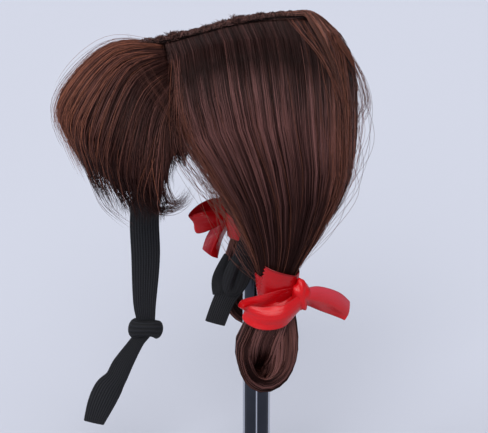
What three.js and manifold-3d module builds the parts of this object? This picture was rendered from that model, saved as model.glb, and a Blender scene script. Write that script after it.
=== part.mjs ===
// Dog wig on a plain display stand. Millimetres, +Z up. The wig faces -Y and its left side is at +X.
// The origin is the middle of the stand's underside, so heights are above the surface that it stands on.
import * as THREE from 'three';
import { mergeVertices } from 'three/addons/utils/BufferGeometryUtils.js';
import Module from 'manifold-3d';

const wasm = await Module();
wasm.setup();

// Driving dimensions
const CROWN = 365; // height of the crown; a "drop" is a distance below it
const GAP = 0.3; // clearance between neighbouring pieces

const CAP = {
  halfWidth: 45,
  halfLength: 66,
  height: 60,
  centreY: -6,
  apexDrop: 8.5,
  tilt: 4, // degrees, nose down
  wall: 2,
  sideRound: 2.1, // power of the arch across the head: 2 is an ellipse
  lengthRound: 3.6, // power along the head: flat on top, with blunt ends
};

const STAND = {
  baseRadius: 75,
  baseThick: 8,
  baseBevel: 3,
  collarRadius: 16,
  collarTop: 21,
  collarBevel: 1,
  socketFloor: 4,
  poleRadius: 10,
  restRadius: 24,
  restEdge: 4,
  restNeck: 14,
  restGap: 0.6, // under the cap, whose faces are flat between their corners
  socketDepth: 8,
};

const RIDGE = { halfWidth: 3.4, halfHeight: 3.2, tuft: 0.7, tufts: 26, endShare: 0.35, endSlope: 6 };
const STRAP = {
  thick: 1.5,
  knotHalfDepth: 5.5,
  hole: 0.7, // inner size of the knot's ring, as a share of its outer size
  flat: 0.6, // share of the ring's height that is full width
};
const RIBBON = { thick: 1, wrapTop: 15.2, wrapFoot: 12.4, wrapHeight: 18 };
const NECK = { x: 50, y: 3, radius: 11.5 };

// Corners round each kind of round piece
const CORNERS = {
  base: 36,
  pole: 32,
  rest: 24,
  cap: 28,
  ridge: 8,
  fringeLock: 6,
  bun: 10,
  neck: 16,
  wrap: 20,
  ribbonKnot: 8,
  strapKnot: 16,
};

const SIDES = {
  left: { sign: 1, tieDrop: 172, bunShare: 1, bunBack: 0 },
  right: { sign: -1, tieDrop: 164, bunShare: 0.85, bunBack: 8 },
};

// Curves and tables

const at = (x, y, drop) => new THREE.Vector3(x, y, CROWN - drop);
const mix = THREE.MathUtils.lerp;
const radians = THREE.MathUtils.degToRad;

// Smooth value of one column of a table at t, from 0 at its first row to 1 at its last.
function column(rows, name, t) {
  const place = Math.min(Math.max(t, 0), 1) * (rows.length - 1);
  const i = Math.min(Math.floor(place), rows.length - 2);
  const f = place - i;
  const value = (k) => rows[Math.min(Math.max(k, 0), rows.length - 1)][name];
  const [a, b, c, d] = [value(i - 1), value(i), value(i + 1), value(i + 2)];
  return b + 0.5 * f * (c - a + f * (2 * a - 5 * b + 4 * c - d + f * (3 * (b - c) + d - a)));
}

// All the columns of a table at t.
function rowAt(rows, t) {
  return Object.fromEntries(Object.keys(rows[0]).map((name) => [name, column(rows, name, t)]));
}

const STATIONS_PER_ROW = 3; // how finely the strips and straps follow their tables
const steps = (count) => Array.from({ length: count + 1 }, (_, k) => k / count);

// Repeatable value from 0 to 1 for the k-th lock of a kind, so that no two locks are alike.
const vary = (k, kind) => {
  const x = Math.sin(k * 12.9898 + kind * 78.233) * 43758.5453;
  return x - Math.floor(x);
};

// Solids

// Closed geometry from a list of triangles of points, with shared corners merged and faces pointing out.
function closedFrom(points, triangles) {
  const geometry = new THREE.BufferGeometry().setFromPoints(points);
  geometry.setIndex(triangles);
  const merged = mergeVertices(geometry, 1e-3);
  const kept = [];
  const { array } = merged.index;
  for (let i = 0; i < array.length; i += 3) {
    const [a, b, c] = [array[i], array[i + 1], array[i + 2]];
    if (a !== b && b !== c && a !== c) kept.push(a, b, c);
  }
  const p = merged.getAttribute('position');
  let volume = 0;
  const corner = (i) => new THREE.Vector3().fromBufferAttribute(p, i);
  for (let i = 0; i < kept.length; i += 3) {
    volume += corner(kept[i]).dot(corner(kept[i + 1]).cross(corner(kept[i + 2])));
  }
  merged.setIndex(volume < 0 ? kept.reverse() : kept);
  return merged;
}

// Solid through rings of points, one ring after another, closed by a fan at each end.
function tube(rings) {
  const around = rings[0].length;
  const points = rings.flat();
  const triangles = [];
  for (let r = 0; r + 1 < rings.length; r++) {
    for (let k = 0; k < around; k++) {
      const [a, b] = [r * around + k, r * around + ((k + 1) % around)];
      triangles.push(a, b, a + around, b, b + around, a + around);
    }
  }
  for (const [r, flip] of [[0, true], [rings.length - 1, false]]) {
    const middle = rings[r].reduce((sum, p) => sum.add(p), new THREE.Vector3()).divideScalar(around);
    points.push(middle);
    for (let k = 0; k < around; k++) {
      const [a, b] = [r * around + k, r * around + ((k + 1) % around)];
      triangles.push(...(flip ? [b, a, points.length - 1] : [a, b, points.length - 1]));
    }
  }
  return closedFrom(points, triangles);
}

// Solid between two sheets of points of the same rows and columns.
function slab(front, back) {
  const [rows, cols] = [front.length, front[0].length];
  const points = [...front.flat(), ...back.flat()];
  const one = (r, c) => r * cols + c;
  const other = (r, c) => rows * cols + one(r, c);
  const triangles = [];
  const quad = (a, b, c, d) => triangles.push(a, b, c, a, c, d);
  for (let r = 0; r + 1 < rows; r++) {
    for (let c = 0; c + 1 < cols; c++) {
      quad(one(r, c), one(r, c + 1), one(r + 1, c + 1), one(r + 1, c));
      quad(other(r, c), other(r + 1, c), other(r + 1, c + 1), other(r, c + 1));
    }
    quad(one(r, 0), one(r + 1, 0), other(r + 1, 0), other(r, 0));
    quad(one(r, cols - 1), other(r, cols - 1), other(r + 1, cols - 1), one(r + 1, cols - 1));
  }
  for (let c = 0; c + 1 < cols; c++) {
    quad(one(0, c), other(0, c), other(0, c + 1), one(0, c + 1));
    quad(one(rows - 1, c), one(rows - 1, c + 1), other(rows - 1, c + 1), other(rows - 1, c));
  }
  return closedFrom(points, triangles);
}

// Flat band along a line of centres. Each station has its half width along "across".
function band(stations, thick) {
  const columns = [-1, 0, 1];
  const [front, back] = [[], []];
  stations.forEach((s, i) => {
    const before = stations[Math.max(i - 1, 0)].centre;
    const after = stations[Math.min(i + 1, stations.length - 1)].centre;
    const along = after.clone().sub(before).normalize();
    const across = s.across.clone().addScaledVector(along, -s.across.dot(along)).normalize();
    const normal = along.clone().cross(across);
    const point = (c, lift) => s.centre.clone()
      .addScaledVector(across, c * s.halfWidth)
      .addScaledVector(normal, lift);
    front.push(columns.map((c) => point(c, thick / 2)));
    back.push(columns.map((c) => point(c, -thick / 2)));
  });
  return slab(front, back);
}

// Round-sided rope along a line of centres, with a half width along "across" and a half depth square to it.
function rope(stations, around) {
  return tube(stations.map((s, i) => {
    const before = stations[Math.max(i - 1, 0)].centre;
    const after = stations[Math.min(i + 1, stations.length - 1)].centre;
    const along = after.clone().sub(before).normalize();
    const across = s.across.clone().addScaledVector(along, -s.across.dot(along)).normalize();
    const normal = along.clone().cross(across);
    return Array.from({ length: around }, (_, k) => {
      const turn = (2 * Math.PI * k) / around;
      return s.centre.clone()
        .addScaledVector(across, s.halfWidth * Math.cos(turn))
        .addScaledVector(normal, s.halfDepth * Math.sin(turn));
    });
  }));
}

// Turned solid about the Z axis from a profile of [radius, height] pairs.
function turned(profile, segments) {
  const line = profile.map(([r, z]) => new THREE.Vector2(r, z));
  const lathe = new THREE.LatheGeometry(line, segments).rotateX(Math.PI / 2);
  lathe.deleteAttribute('normal');
  lathe.deleteAttribute('uv');
  const plain = lathe.toNonIndexed();
  const p = plain.getAttribute('position');
  const points = Array.from({ length: p.count }, (_, i) => new THREE.Vector3().fromBufferAttribute(p, i));
  return closedFrom(points, points.map((_, i) => i));
}

function asSolid(geometry) {
  const vertProperties = new Float32Array(geometry.getAttribute('position').array);
  const triVerts = new Uint32Array(geometry.index.array);
  return new wasm.Manifold(new wasm.Mesh({ numProp: 3, vertProperties, triVerts }));
}

function geometryOf(solid) {
  const mesh = solid.getMesh();
  const geometry = new THREE.BufferGeometry();
  geometry.setAttribute('position', new THREE.BufferAttribute(new Float32Array(mesh.vertProperties), 3));
  geometry.setIndex(new THREE.BufferAttribute(new Uint32Array(mesh.triVerts), 1));
  return geometry;
}

// One geometry from several that overlap, less what is cut away.
function joined(geometries, cut) {
  const solid = geometries.map(asSolid).reduce((sum, next) => sum.add(next));
  return geometryOf(cut ? solid.subtract(asSolid(cut)) : solid);
}

// Stand: a round base with a collar, a chromed pole and a domed rest that the cap sits on

function standBase() {
  const s = STAND;
  const socket = s.poleRadius + GAP;
  return turned([
    [0, 0], [s.baseRadius, 0],
    [s.baseRadius, s.baseThick - s.baseBevel], [s.baseRadius - s.baseBevel, s.baseThick],
    [s.collarRadius, s.baseThick],
    [s.collarRadius, s.collarTop - s.collarBevel], [s.collarRadius - s.collarBevel, s.collarTop],
    [socket, s.collarTop], [socket, s.socketFloor], [0, s.socketFloor],
  ], CORNERS.base);
}

// Height of the cap's inner face over its rim, across the head, at a distance from its middle.
function capInside(x) {
  const share = 1 - (x / (CAP.halfWidth - CAP.wall)) ** CAP.sideRound;
  return (CAP.height - CAP.wall) * share ** (1 / CAP.sideRound);
}

const CAP_RIM_Z = CROWN - CAP.apexDrop - CAP.height;
const REST_EDGE_Z = CAP_RIM_Z + capInside(STAND.restRadius) - STAND.restGap;
const REST_FLOOR_Z = REST_EDGE_Z - STAND.restEdge;

function standPole() {
  const bottom = STAND.socketFloor + GAP;
  const top = REST_FLOOR_Z + STAND.socketDepth - GAP;
  return turned([[0, bottom], [STAND.poleRadius, bottom], [STAND.poleRadius, top], [0, top]], CORNERS.pole);
}

function standRest() {
  const s = STAND;
  const socket = s.poleRadius + GAP;
  const dome = steps(4).map((t) => [s.restRadius * t, CAP_RIM_Z + capInside(s.restRadius * t) - s.restGap]);
  const ceiling = REST_FLOOR_Z + s.socketDepth;
  const underside = [[s.restNeck, REST_FLOOR_Z], [socket, REST_FLOOR_Z], [socket, ceiling], [0, ceiling]];
  return turned([...dome, ...underside], CORNERS.rest);
}

// Cap: a hollow dome of cloth with a flat top, blunt ends and an open underside

function capRing(lift, inset) {
  const share = 1 - lift ** CAP.sideRound;
  return Array.from({ length: CORNERS.cap }, (_, k) => {
    const turn = (2 * Math.PI * k) / CORNERS.cap;
    const [c, s] = [Math.cos(turn), Math.sin(turn)];
    const x = Math.sign(c) * (CAP.halfWidth - inset) * (share * c * c) ** (1 / CAP.sideRound);
    const y = Math.sign(s) * (CAP.halfLength - inset) * (share * s * s) ** (1 / CAP.lengthRound);
    const tilted = y * Math.tan(radians(CAP.tilt));
    return new THREE.Vector3(x, CAP.centreY + y, CAP_RIM_Z + (CAP.height - inset) * lift + tilted);
  });
}

const CAP_LIFTS = steps(7).map((t) => Math.sin((t * Math.PI) / 2));

function cap() {
  const outer = CAP_LIFTS.map((lift) => capRing(lift, 0));
  const inner = CAP_LIFTS.map((lift) => capRing(lift, CAP.wall));
  return tube([...inner.reverse(), ...outer]);
}

// The cap's outside as a full block, grown by a clearance, for cutting the pieces that lie on it.
function capBlock() {
  return tube(CAP_LIFTS.map((lift) => capRing(lift, -2 * GAP)));
}

// Parting ridge: the sewn edge of the wefts, a row of short tufts along the top of the head

const RIDGE_LINE = [
  { y: -63, drop: 16.5 },
  { y: -39, drop: 9.5 },
  { y: -19, drop: 4.3 },
  { y: 0, drop: 1 },
  { y: 22, drop: -1.6 },
  { y: 40, drop: 3 },
  { y: 56, drop: 14 },
];

function ridge() {
  const stations = steps(RIDGE.tufts).map((t, k) => {
    const row = rowAt(RIDGE_LINE, t);
    const taper = Math.min(1, RIDGE.endSlope * Math.min(t, 1 - t) + RIDGE.endShare);
    const tuft = 1 + (RIDGE.tuft / RIDGE.halfHeight) * (k % 2 ? 1 : -1) * vary(k, 1);
    return {
      centre: at(0, row.y, row.drop),
      across: new THREE.Vector3(1, 0, 0),
      halfWidth: RIDGE.halfWidth * taper,
      halfDepth: RIDGE.halfHeight * taper * tuft,
    };
  });
  return joined([rope(stations, CORNERS.ridge)], capBlock());
}

// Side hair: a sheet of locks from the ridge over the cap's side, and one down the back, gathered in a neck

// One row for each section from the root to the neck. "front" and "rear" are the sheet's edges, "crest"
// lifts the middle, "bulge" is how far the middle stands out, and "lean" turns the thickness upright.
const SIDE_SECTIONS = [
  { frontX: 4.2, frontY: -63, frontDrop: 22, rearX: 4.2, rearY: 56, rearDrop: 11,
    crest: 13.5, bulge: 0.4, thick: 4.5, lean: 80 },
  { frontX: 22, frontY: -63, frontDrop: 22, rearX: 18, rearY: 57, rearDrop: 24,
    crest: 14, bulge: 7, thick: 5, lean: 60 },
  { frontX: 36, frontY: -62, frontDrop: 43, rearX: 34, rearY: 56, rearDrop: 50,
    crest: 20, bulge: 9, thick: 6, lean: 35 },
  { frontX: 44, frontY: -59, frontDrop: 67, rearX: 44, rearY: 53, rearDrop: 80,
    crest: 19, bulge: 12, thick: 7, lean: 15 },
  { frontX: 49, frontY: -51, frontDrop: 91, rearX: 48, rearY: 50, rearDrop: 100,
    crest: 10, bulge: 12.5, thick: 9, lean: 0 },
  { frontX: 52, frontY: -39, frontDrop: 115, rearX: 50, rearY: 44, rearDrop: 118,
    crest: 3, bulge: 11, thick: 12, lean: 0 },
  { frontX: 53, frontY: -24, frontDrop: 142, rearX: 52, rearY: 29, rearDrop: 142,
    crest: 0, bulge: 10.5, thick: 17, lean: 0 },
  { frontX: 50, frontY: -10, frontDrop: 162, rearX: 50, rearY: 16, rearDrop: 162,
    crest: 0, bulge: 11.5, thick: 23, lean: 0 },
  { frontX: 50, frontY: -8.5, frontDrop: 172, rearX: 50, rearY: 14.5, rearDrop: 172,
    crest: 0, bulge: 11.5, thick: 23, lean: 0 },
];
const BACK_SECTIONS = [
  { frontX: 4.2, frontY: 40, frontDrop: 9, rearX: 4.2, rearY: 58, rearDrop: 18,
    crest: 1, bulge: 0.4, thick: 3, lean: 80 },
  { frontX: 20, frontY: 47, frontDrop: 22, rearX: 2, rearY: 64, rearDrop: 27,
    crest: 1, bulge: 4, thick: 4, lean: 50 },
  { frontX: 35, frontY: 47, frontDrop: 46, rearX: 2.5, rearY: 66, rearDrop: 48,
    crest: 0, bulge: 6, thick: 5, lean: 25 },
  { frontX: 45, frontY: 44, frontDrop: 76, rearX: 12, rearY: 64, rearDrop: 78,
    crest: 0, bulge: 6, thick: 6, lean: 5 },
  { frontX: 50, frontY: 40, frontDrop: 98, rearX: 27, rearY: 58, rearDrop: 102,
    crest: 0, bulge: 5, thick: 7, lean: 0 },
  { frontX: 52, frontY: 33, frontDrop: 118, rearX: 40, rearY: 47, rearDrop: 122,
    crest: 0, bulge: 4, thick: 8, lean: 0 },
  { frontX: 54, frontY: 20, frontDrop: 142, rearX: 50, rearY: 28, rearDrop: 144,
    crest: 0, bulge: 1, thick: 4, lean: 0 },
];
const SIDE_SHEET = { sections: SIDE_SECTIONS, facing: 0, locks: 9, rows: 10 };
const BACK_SHEET = { sections: BACK_SECTIONS, facing: 58, locks: 4, rows: 6 };
const LOCK_POINTS = 3;
const LOCK_RELIEF = 1.8; // depth of the grooves between locks, less where the sheet is thin
const FULL_RELIEF_THICK = 8;

// A sheet of locks that bulges towards its facing, in degrees from straight sideways to straight back.
function hairSheet(sheet, side) {
  const dropShare = side.tieDrop / SIDES.left.tieDrop;
  const across = steps(sheet.locks * LOCK_POINTS);
  const facing = radians(sheet.facing);
  const [outer, inner] = [[], []];
  for (const t of steps(sheet.rows)) {
    const row = rowAt(sheet.sections, t);
    const lean = radians(row.lean);
    const relief = LOCK_RELIEF * Math.min(1, row.thick / FULL_RELIEF_THICK);
    const point = (u, lift) => {
      const s = -Math.cos(Math.PI * u);
      const arch = Math.sqrt(Math.max(0, 1 - s * s));
      const w = (s + 1) / 2;
      const out = (row.bulge + lift * Math.cos(lean)) * arch;
      const x = mix(row.frontX, row.rearX, w) + out * Math.cos(facing);
      const y = mix(row.frontY, row.rearY, w) + out * Math.sin(facing);
      const raised = row.crest * (1 - s * s) + lift * Math.sin(lean) * arch;
      const drop = mix(row.frontDrop, row.rearDrop, w) - raised;
      return at(side.sign * x, y, drop * mix(1, dropShare, t));
    };
    const groove = (k) => (k % LOCK_POINTS ? 0 : relief * (0.4 + 0.6 * vary(k, 2)));
    outer.push(across.map((u, k) => point(u, -groove(k))));
    inner.push(across.map((u) => point(u, -row.thick)));
  }
  return slab(outer, inner);
}

function sideHair(side) {
  return joined([hairSheet(SIDE_SHEET, side), hairSheet(BACK_SHEET, side)], capBlock());
}

// Fringe: locks that fan out from the front of the ridge, swell over the brow and end in points

// One row for each lock from the middle to the side, with the four places that the lock runs through.
const FRINGE_SECTIONS = [
  { rootX: 0, rootY: -65.8, rootDrop: 19, crestX: 0, crestY: -100, crestDrop: 15,
    browX: 0, browY: -132, browDrop: 52, tipX: 0, tipY: -122, tipDrop: 99, halfWidth: 9.5 },
  { rootX: 9, rootY: -65.8, rootDrop: 20, crestX: 17, crestY: -97, crestDrop: 19,
    browX: 27, browY: -126, browDrop: 55, tipX: 23, tipY: -118, tipDrop: 103, halfWidth: 10.5 },
  { rootX: 20, rootY: -66.5, rootDrop: 25, crestX: 33, crestY: -88, crestDrop: 32,
    browX: 46, browY: -104, browDrop: 68, tipX: 42, tipY: -98, tipDrop: 110, halfWidth: 11 },
  { rootX: 34, rootY: -66.5, rootDrop: 42, crestX: 44, crestY: -71, crestDrop: 58,
    browX: 53.5, browY: -74.5, browDrop: 85, tipX: 53, tipY: -65, tipDrop: 109, halfWidth: 7.8 },
];
const FRINGE_LOCKS = 13;
const FRINGE_LOCK = {
  rootShare: 0.5,
  rootDepth: 2.2,
  middleDepth: 3.6,
  swellBy: 0.33, // how far along the lock reaches its full width
  taperFrom: 0.62,
  taperPower: 1.3,
  tipShare: 0.08,
  uneven: 8,
  stations: 7,
};
const FRINGE_BAND = { halfWidth: 3.5, halfDepth: 2 };

// Where a lock's root, crest, brow or tip lies, for u from -1 at the right temple to 1 at the left.
function fringePoint(place, u) {
  const value = (axis) => column(FRINGE_SECTIONS, place + axis, Math.abs(u));
  return at(Math.sign(u) * value('X'), value('Y'), value('Drop'));
}

function fringeLock(k) {
  const f = FRINGE_LOCK;
  const u = (2 * k) / (FRINGE_LOCKS - 1) - 1;
  const [root, crest, brow, tip] = ['root', 'crest', 'brow', 'tip'].map((place) => fringePoint(place, u));
  tip.z -= f.uneven * (vary(k, 3) - 0.5);
  const curve = new THREE.CatmullRomCurve3([root, crest, brow, brow.clone().lerp(tip, 0.5), tip]);
  const out = brow.clone().sub(root).setZ(0).normalize();
  const across = new THREE.Vector3(-out.y, out.x, 0);
  const middle = column(FRINGE_SECTIONS, 'halfWidth', Math.abs(u));
  const stations = steps(f.stations).map((t) => {
    const swell = Math.min(1, t / f.swellBy);
    const end = Math.max(0, (t - f.taperFrom) / (1 - f.taperFrom));
    const taper = mix(1, f.tipShare, end ** f.taperPower);
    return {
      centre: curve.getPoint(t),
      across,
      halfWidth: middle * mix(f.rootShare, 1, swell) * taper,
      halfDepth: mix(f.rootDepth, f.middleDepth, swell) * taper,
    };
  });
  return rope(stations, CORNERS.fringeLock);
}

// The sewn band along the roots, which joins the locks.
function fringeBand() {
  const stations = steps(FRINGE_LOCKS - 1).map((t) => ({
    centre: fringePoint('root', 2 * t - 1),
    across: new THREE.Vector3(0, 0, 1),
    ...FRINGE_BAND,
  }));
  return rope(stations, CORNERS.fringeLock);
}

function fringe() {
  const locks = Array.from({ length: FRINGE_LOCKS }, (_, k) => fringeLock(k));
  return joined([fringeBand(), ...locks], capBlock());
}

// Bun: the end of the gathered hair, turned up in a loop and caught again under the ribbon

// One row for each section of the loop, from the neck down behind, round the bottom and up in front.
const BUN_SECTIONS = [
  { y: 2, fall: -4, halfWidth: 5.5, halfDepth: 8 },
  { y: 3, fall: 18, halfWidth: 8, halfDepth: 10.5 },
  { y: 3, fall: 42, halfWidth: 10.5, halfDepth: 14 },
  { y: 1, fall: 61, halfWidth: 8.5, halfDepth: 14 },
  { y: -7, fall: 73, halfWidth: 6, halfDepth: 13 },
  { y: -19, fall: 64, halfWidth: 5, halfDepth: 12 },
  { y: -23, fall: 44, halfWidth: 4.5, halfDepth: 12 },
  { y: -10, fall: 18, halfWidth: 4, halfDepth: 10 },
  { y: -3, fall: -4, halfWidth: 4, halfDepth: 8 },
];
const BUN_NECK = { shoulder: 8, foot: 20, footRadius: 8 };
const BUN_FALL = 73; // from the tie to the middle of the loop's lowest turn

function bun(side) {
  const top = side.tieDrop + GAP;
  const stations = steps(2 * (BUN_SECTIONS.length - 1)).map((t) => {
    const row = rowAt(BUN_SECTIONS, t);
    const back = side.bunBack * Math.max(0, row.fall / BUN_FALL);
    return {
      centre: at(side.sign * NECK.x, NECK.y + row.y * side.bunShare + back, top + row.fall),
      across: new THREE.Vector3(1, 0, 0),
      halfWidth: row.halfDepth,
      halfDepth: row.halfWidth,
    };
  });
  const n = BUN_NECK;
  const r = NECK.radius;
  const neck = turned(
    [[0, -n.foot], [n.footRadius, -n.foot], [r, -n.shoulder], [r, 0], [0, 0]], CORNERS.neck);
  const above = turned([[0, 0], [2 * r, 0], [2 * r, n.foot], [0, n.foot]], CORNERS.neck);
  const onNeck = (geometry) => geometry.translate(side.sign * NECK.x, NECK.y, CROWN - top);
  return joined([onNeck(neck), rope(stations, CORNERS.bun)], onNeck(above));
}

// Ribbons: a satin band tied round each neck, with a knot, a loop and a folded tail

// One row for each place along a strip. "lean" tips the strip's width from upright towards the rear.
const RIBBON_STRIPS = {
  left: {
    knot: { x: 64, y: 14, drop: 177 },
    strips: [
      [
        { x: 64, y: 13, drop: 177, halfWidth: 5, lean: 10 },
        { x: 70, y: 4, drop: 181, halfWidth: 8, lean: 15 },
        { x: 70, y: -8, drop: 184, halfWidth: 10, lean: 15 },
        { x: 63, y: -19, drop: 184, halfWidth: 10, lean: 10 },
        { x: 66, y: -10, drop: 189, halfWidth: 10, lean: 10 },
        { x: 67, y: 2, drop: 187, halfWidth: 8, lean: 15 },
        { x: 64, y: 13, drop: 178, halfWidth: 5, lean: 10 },
      ],
      [
        { x: 64, y: 14, drop: 177, halfWidth: 4, lean: 0 },
        { x: 60, y: 26, drop: 181, halfWidth: 5, lean: 0 },
        { x: 55, y: 40, drop: 189, halfWidth: 6, lean: 5 },
        { x: 51, y: 53, drop: 194, halfWidth: 6.5, lean: 10 },
      ],
    ],
  },
  right: {
    knot: { x: 66.5, y: -6, drop: 163 },
    strips: [
      [
        { x: 66, y: -7, drop: 163, halfWidth: 5, lean: 0 },
        { x: 70, y: -14, drop: 159, halfWidth: 7, lean: 0 },
        { x: 68, y: -25, drop: 160, halfWidth: 8, lean: 0 },
        { x: 63, y: -33, drop: 163, halfWidth: 8, lean: 0 },
        { x: 60, y: -25, drop: 163, halfWidth: 8, lean: 0 },
        { x: 61, y: -15, drop: 163, halfWidth: 6, lean: 0 },
        { x: 66, y: -7, drop: 164, halfWidth: 5, lean: 0 },
      ],
      [
        { x: 66, y: -7, drop: 164, halfWidth: 4, lean: -60 },
        { x: 64, y: -13, drop: 172, halfWidth: 6, lean: -65 },
        { x: 61, y: -19, drop: 181, halfWidth: 7, lean: -70 },
        { x: 58, y: -23, drop: 191, halfWidth: 7, lean: -70 },
      ],
    ],
  },
};
const KNOT = { halfLength: 7, halfHeight: 8, halfDepth: 5 };

function ribbonStrip(rows, side) {
  const stations = steps(STATIONS_PER_ROW * (rows.length - 1)).map((t) => {
    const row = rowAt(rows, t);
    const lean = radians(row.lean);
    return {
      centre: at(side.sign * row.x, row.y, row.drop),
      across: new THREE.Vector3(0, Math.sin(lean), Math.cos(lean)),
      halfWidth: row.halfWidth,
    };
  });
  return band(stations, RIBBON.thick);
}

function ribbon(name, side) {
  const { wrapTop, wrapFoot, wrapHeight, thick } = RIBBON;
  const { knot, strips } = RIBBON_STRIPS[name];
  const wrap = turned([
    [wrapFoot, 0], [wrapFoot + thick, 0],
    [wrapTop + thick, wrapHeight], [wrapTop, wrapHeight], [wrapFoot, 0],
  ], CORNERS.wrap).translate(side.sign * NECK.x, NECK.y, CROWN - side.tieDrop - wrapHeight / 2);
  const ball = steps(5).map((t) => [Math.sin(Math.PI * t), -Math.cos(Math.PI * t)]);
  const lump = turned(ball, CORNERS.ribbonKnot)
    .scale(KNOT.halfDepth, KNOT.halfLength, KNOT.halfHeight)
    .translate(side.sign * knot.x, knot.y, CROWN - knot.drop);
  return joined([wrap, lump, ...strips.map((rows) => ribbonStrip(rows, side))]);
}

// Chin straps: flat elastic sewn inside the cap's rim, each with a knot and a loose tail

// One row for each place from the sewn end to the free end. "turn" swings the width about the upright.
const STRAP_ROWS = {
  left: {
    knot: { row: 3, halfWidth: 12, height: 22, tilt: 24 },
    rows: [
      { x: 40, y: -20, drop: 57, halfWidth: 10, turn: 3 },
      { x: 38.5, y: -13, drop: 90, halfWidth: 10, turn: 0 },
      { x: 34, y: -8, drop: 135, halfWidth: 10, turn: 0 },
      { x: 31, y: -19.5, drop: 171, halfWidth: 9.5, turn: 0 },
      { x: 31, y: -29.5, drop: 188, halfWidth: 9, turn: 0 },
      { x: 31, y: -35.5, drop: 201, halfWidth: 10, turn: 0 },
    ],
  },
  right: {
    knot: { row: 5, halfWidth: 13, height: 12, tilt: 8 },
    rows: [
      { x: 36.5, y: -41, drop: 57, halfWidth: 10, turn: 16 },
      { x: 36.6, y: -43, drop: 80, halfWidth: 10, turn: 14 },
      { x: 39, y: -56, drop: 105, halfWidth: 10, turn: 6 },
      { x: 42, y: -72, drop: 143, halfWidth: 10, turn: 0 },
      { x: 42, y: -74, drop: 200, halfWidth: 10, turn: 0 },
      { x: 42, y: -74, drop: 237, halfWidth: 9.5, turn: 0 },
      { x: 45, y: -87, drop: 265, halfWidth: 9, turn: 0 },
      { x: 48, y: -100, drop: 290, halfWidth: 9.5, turn: 0 },
      { x: 50, y: -112, drop: 313, halfWidth: 11, turn: 0 },
    ],
  },
};

function chinStrap(name, side) {
  const { rows, knot } = STRAP_ROWS[name];
  const stations = steps(STATIONS_PER_ROW * (rows.length - 1)).map((t) => {
    const row = rowAt(rows, t);
    const turn = radians(row.turn);
    return {
      centre: at(side.sign * row.x, row.y, row.drop),
      across: new THREE.Vector3(side.sign * Math.sin(turn), Math.cos(turn), 0),
      halfWidth: row.halfWidth,
    };
  });
  const { hole, flat } = STRAP;
  const tied = rows[knot.row];
  const profile = [[hole, -1], [1, -flat], [1, flat], [hole, 1], [hole, -1]];
  const ring = turned(profile, CORNERS.strapKnot)
    .scale(STRAP.knotHalfDepth, knot.halfWidth, knot.height / 2)
    .rotateX(radians(-knot.tilt))
    .translate(side.sign * tied.x, tied.y, CROWN - tied.drop);
  return joined([band(stations, STRAP.thick), ring]);
}

// Materials and assembly

const hair = new THREE.MeshStandardMaterial({ color: 0x3a2522, roughness: 0.45, metalness: 0 });
const weft = new THREE.MeshStandardMaterial({ color: 0x2c1e1c, roughness: 0.7, metalness: 0 });
const net = new THREE.MeshStandardMaterial({ color: 0x1d1716, roughness: 0.9, metalness: 0 });
const satin = new THREE.MeshStandardMaterial({ color: 0xc8141c, roughness: 0.35, metalness: 0 });
const elastic = new THREE.MeshStandardMaterial({ color: 0x1b1d22, roughness: 0.8, metalness: 0 });
const chrome = new THREE.MeshStandardMaterial({ color: 0xd5d8de, roughness: 0.08, metalness: 1 });

function piece(name, geometry, material) {
  const mesh = new THREE.Mesh(geometry, material);
  geometry.computeVertexNormals();
  mesh.name = name;
  return mesh;
}

const stand = new THREE.Group();
stand.add(piece('stand_base', standBase(), chrome));
stand.add(piece('stand_pole', standPole(), chrome));
stand.add(piece('stand_rest', standRest(), net));

const wig = new THREE.Group();
wig.add(piece('cap', cap(), net));
wig.add(piece('parting_ridge', ridge(), weft));
wig.add(piece('fringe', fringe(), hair));
for (const [name, side] of Object.entries(SIDES)) {
  wig.add(piece(`side_hair_${name}`, sideHair(side), hair));
  wig.add(piece(`bun_${name}`, bun(side), hair));
  wig.add(piece(`ribbon_${name}`, ribbon(name, side), satin));
  wig.add(piece(`chin_strap_${name}`, chinStrap(name, side), elastic));
}

const dogWigOnStand = new THREE.Group();
dogWigOnStand.add(stand, wig);

export default dogWigOnStand;
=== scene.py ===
"""Looks of the dog wig on its stand: hair in strands, satin ribbons, ribbed elastic, a chromed pole."""

import math

import bpy
import numpy as np
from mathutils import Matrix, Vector


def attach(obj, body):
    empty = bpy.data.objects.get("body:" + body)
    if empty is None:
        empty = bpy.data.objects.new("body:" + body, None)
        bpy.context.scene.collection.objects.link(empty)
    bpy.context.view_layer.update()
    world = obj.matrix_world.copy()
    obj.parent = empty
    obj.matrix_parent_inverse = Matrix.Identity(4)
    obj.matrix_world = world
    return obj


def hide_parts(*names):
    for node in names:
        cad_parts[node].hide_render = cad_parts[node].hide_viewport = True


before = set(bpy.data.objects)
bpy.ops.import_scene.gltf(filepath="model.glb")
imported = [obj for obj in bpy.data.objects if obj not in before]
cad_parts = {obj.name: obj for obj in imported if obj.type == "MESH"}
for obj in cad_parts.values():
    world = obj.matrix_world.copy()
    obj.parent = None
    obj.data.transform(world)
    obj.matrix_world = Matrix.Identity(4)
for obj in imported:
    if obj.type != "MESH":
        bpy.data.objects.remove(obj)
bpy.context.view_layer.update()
rng = np.random.default_rng(11)

# Places below are in millimetres; a "drop" is a distance below the crown, and the wig faces -Y.
MM = 0.001
CROWN = 365.0
NECK = {"x": 50.0, "y": 3.0}

# The right side is tied higher, with a smaller bun further back, and has a smaller share of strands.
# A strap's length, as cut, is in metres.
SIDES = {
    "left": {"sign": 1, "tie_drop": 172.0, "bun_share": 1.0, "bun_back": 0.0, "strands": 1.0,
             "strap_length": 0.205},
    "right": {"sign": -1, "tie_drop": 164.0, "bun_share": 0.85, "bun_back": 8.0, "strands": 0.75,
              "strap_length": 0.335},
}

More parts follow.
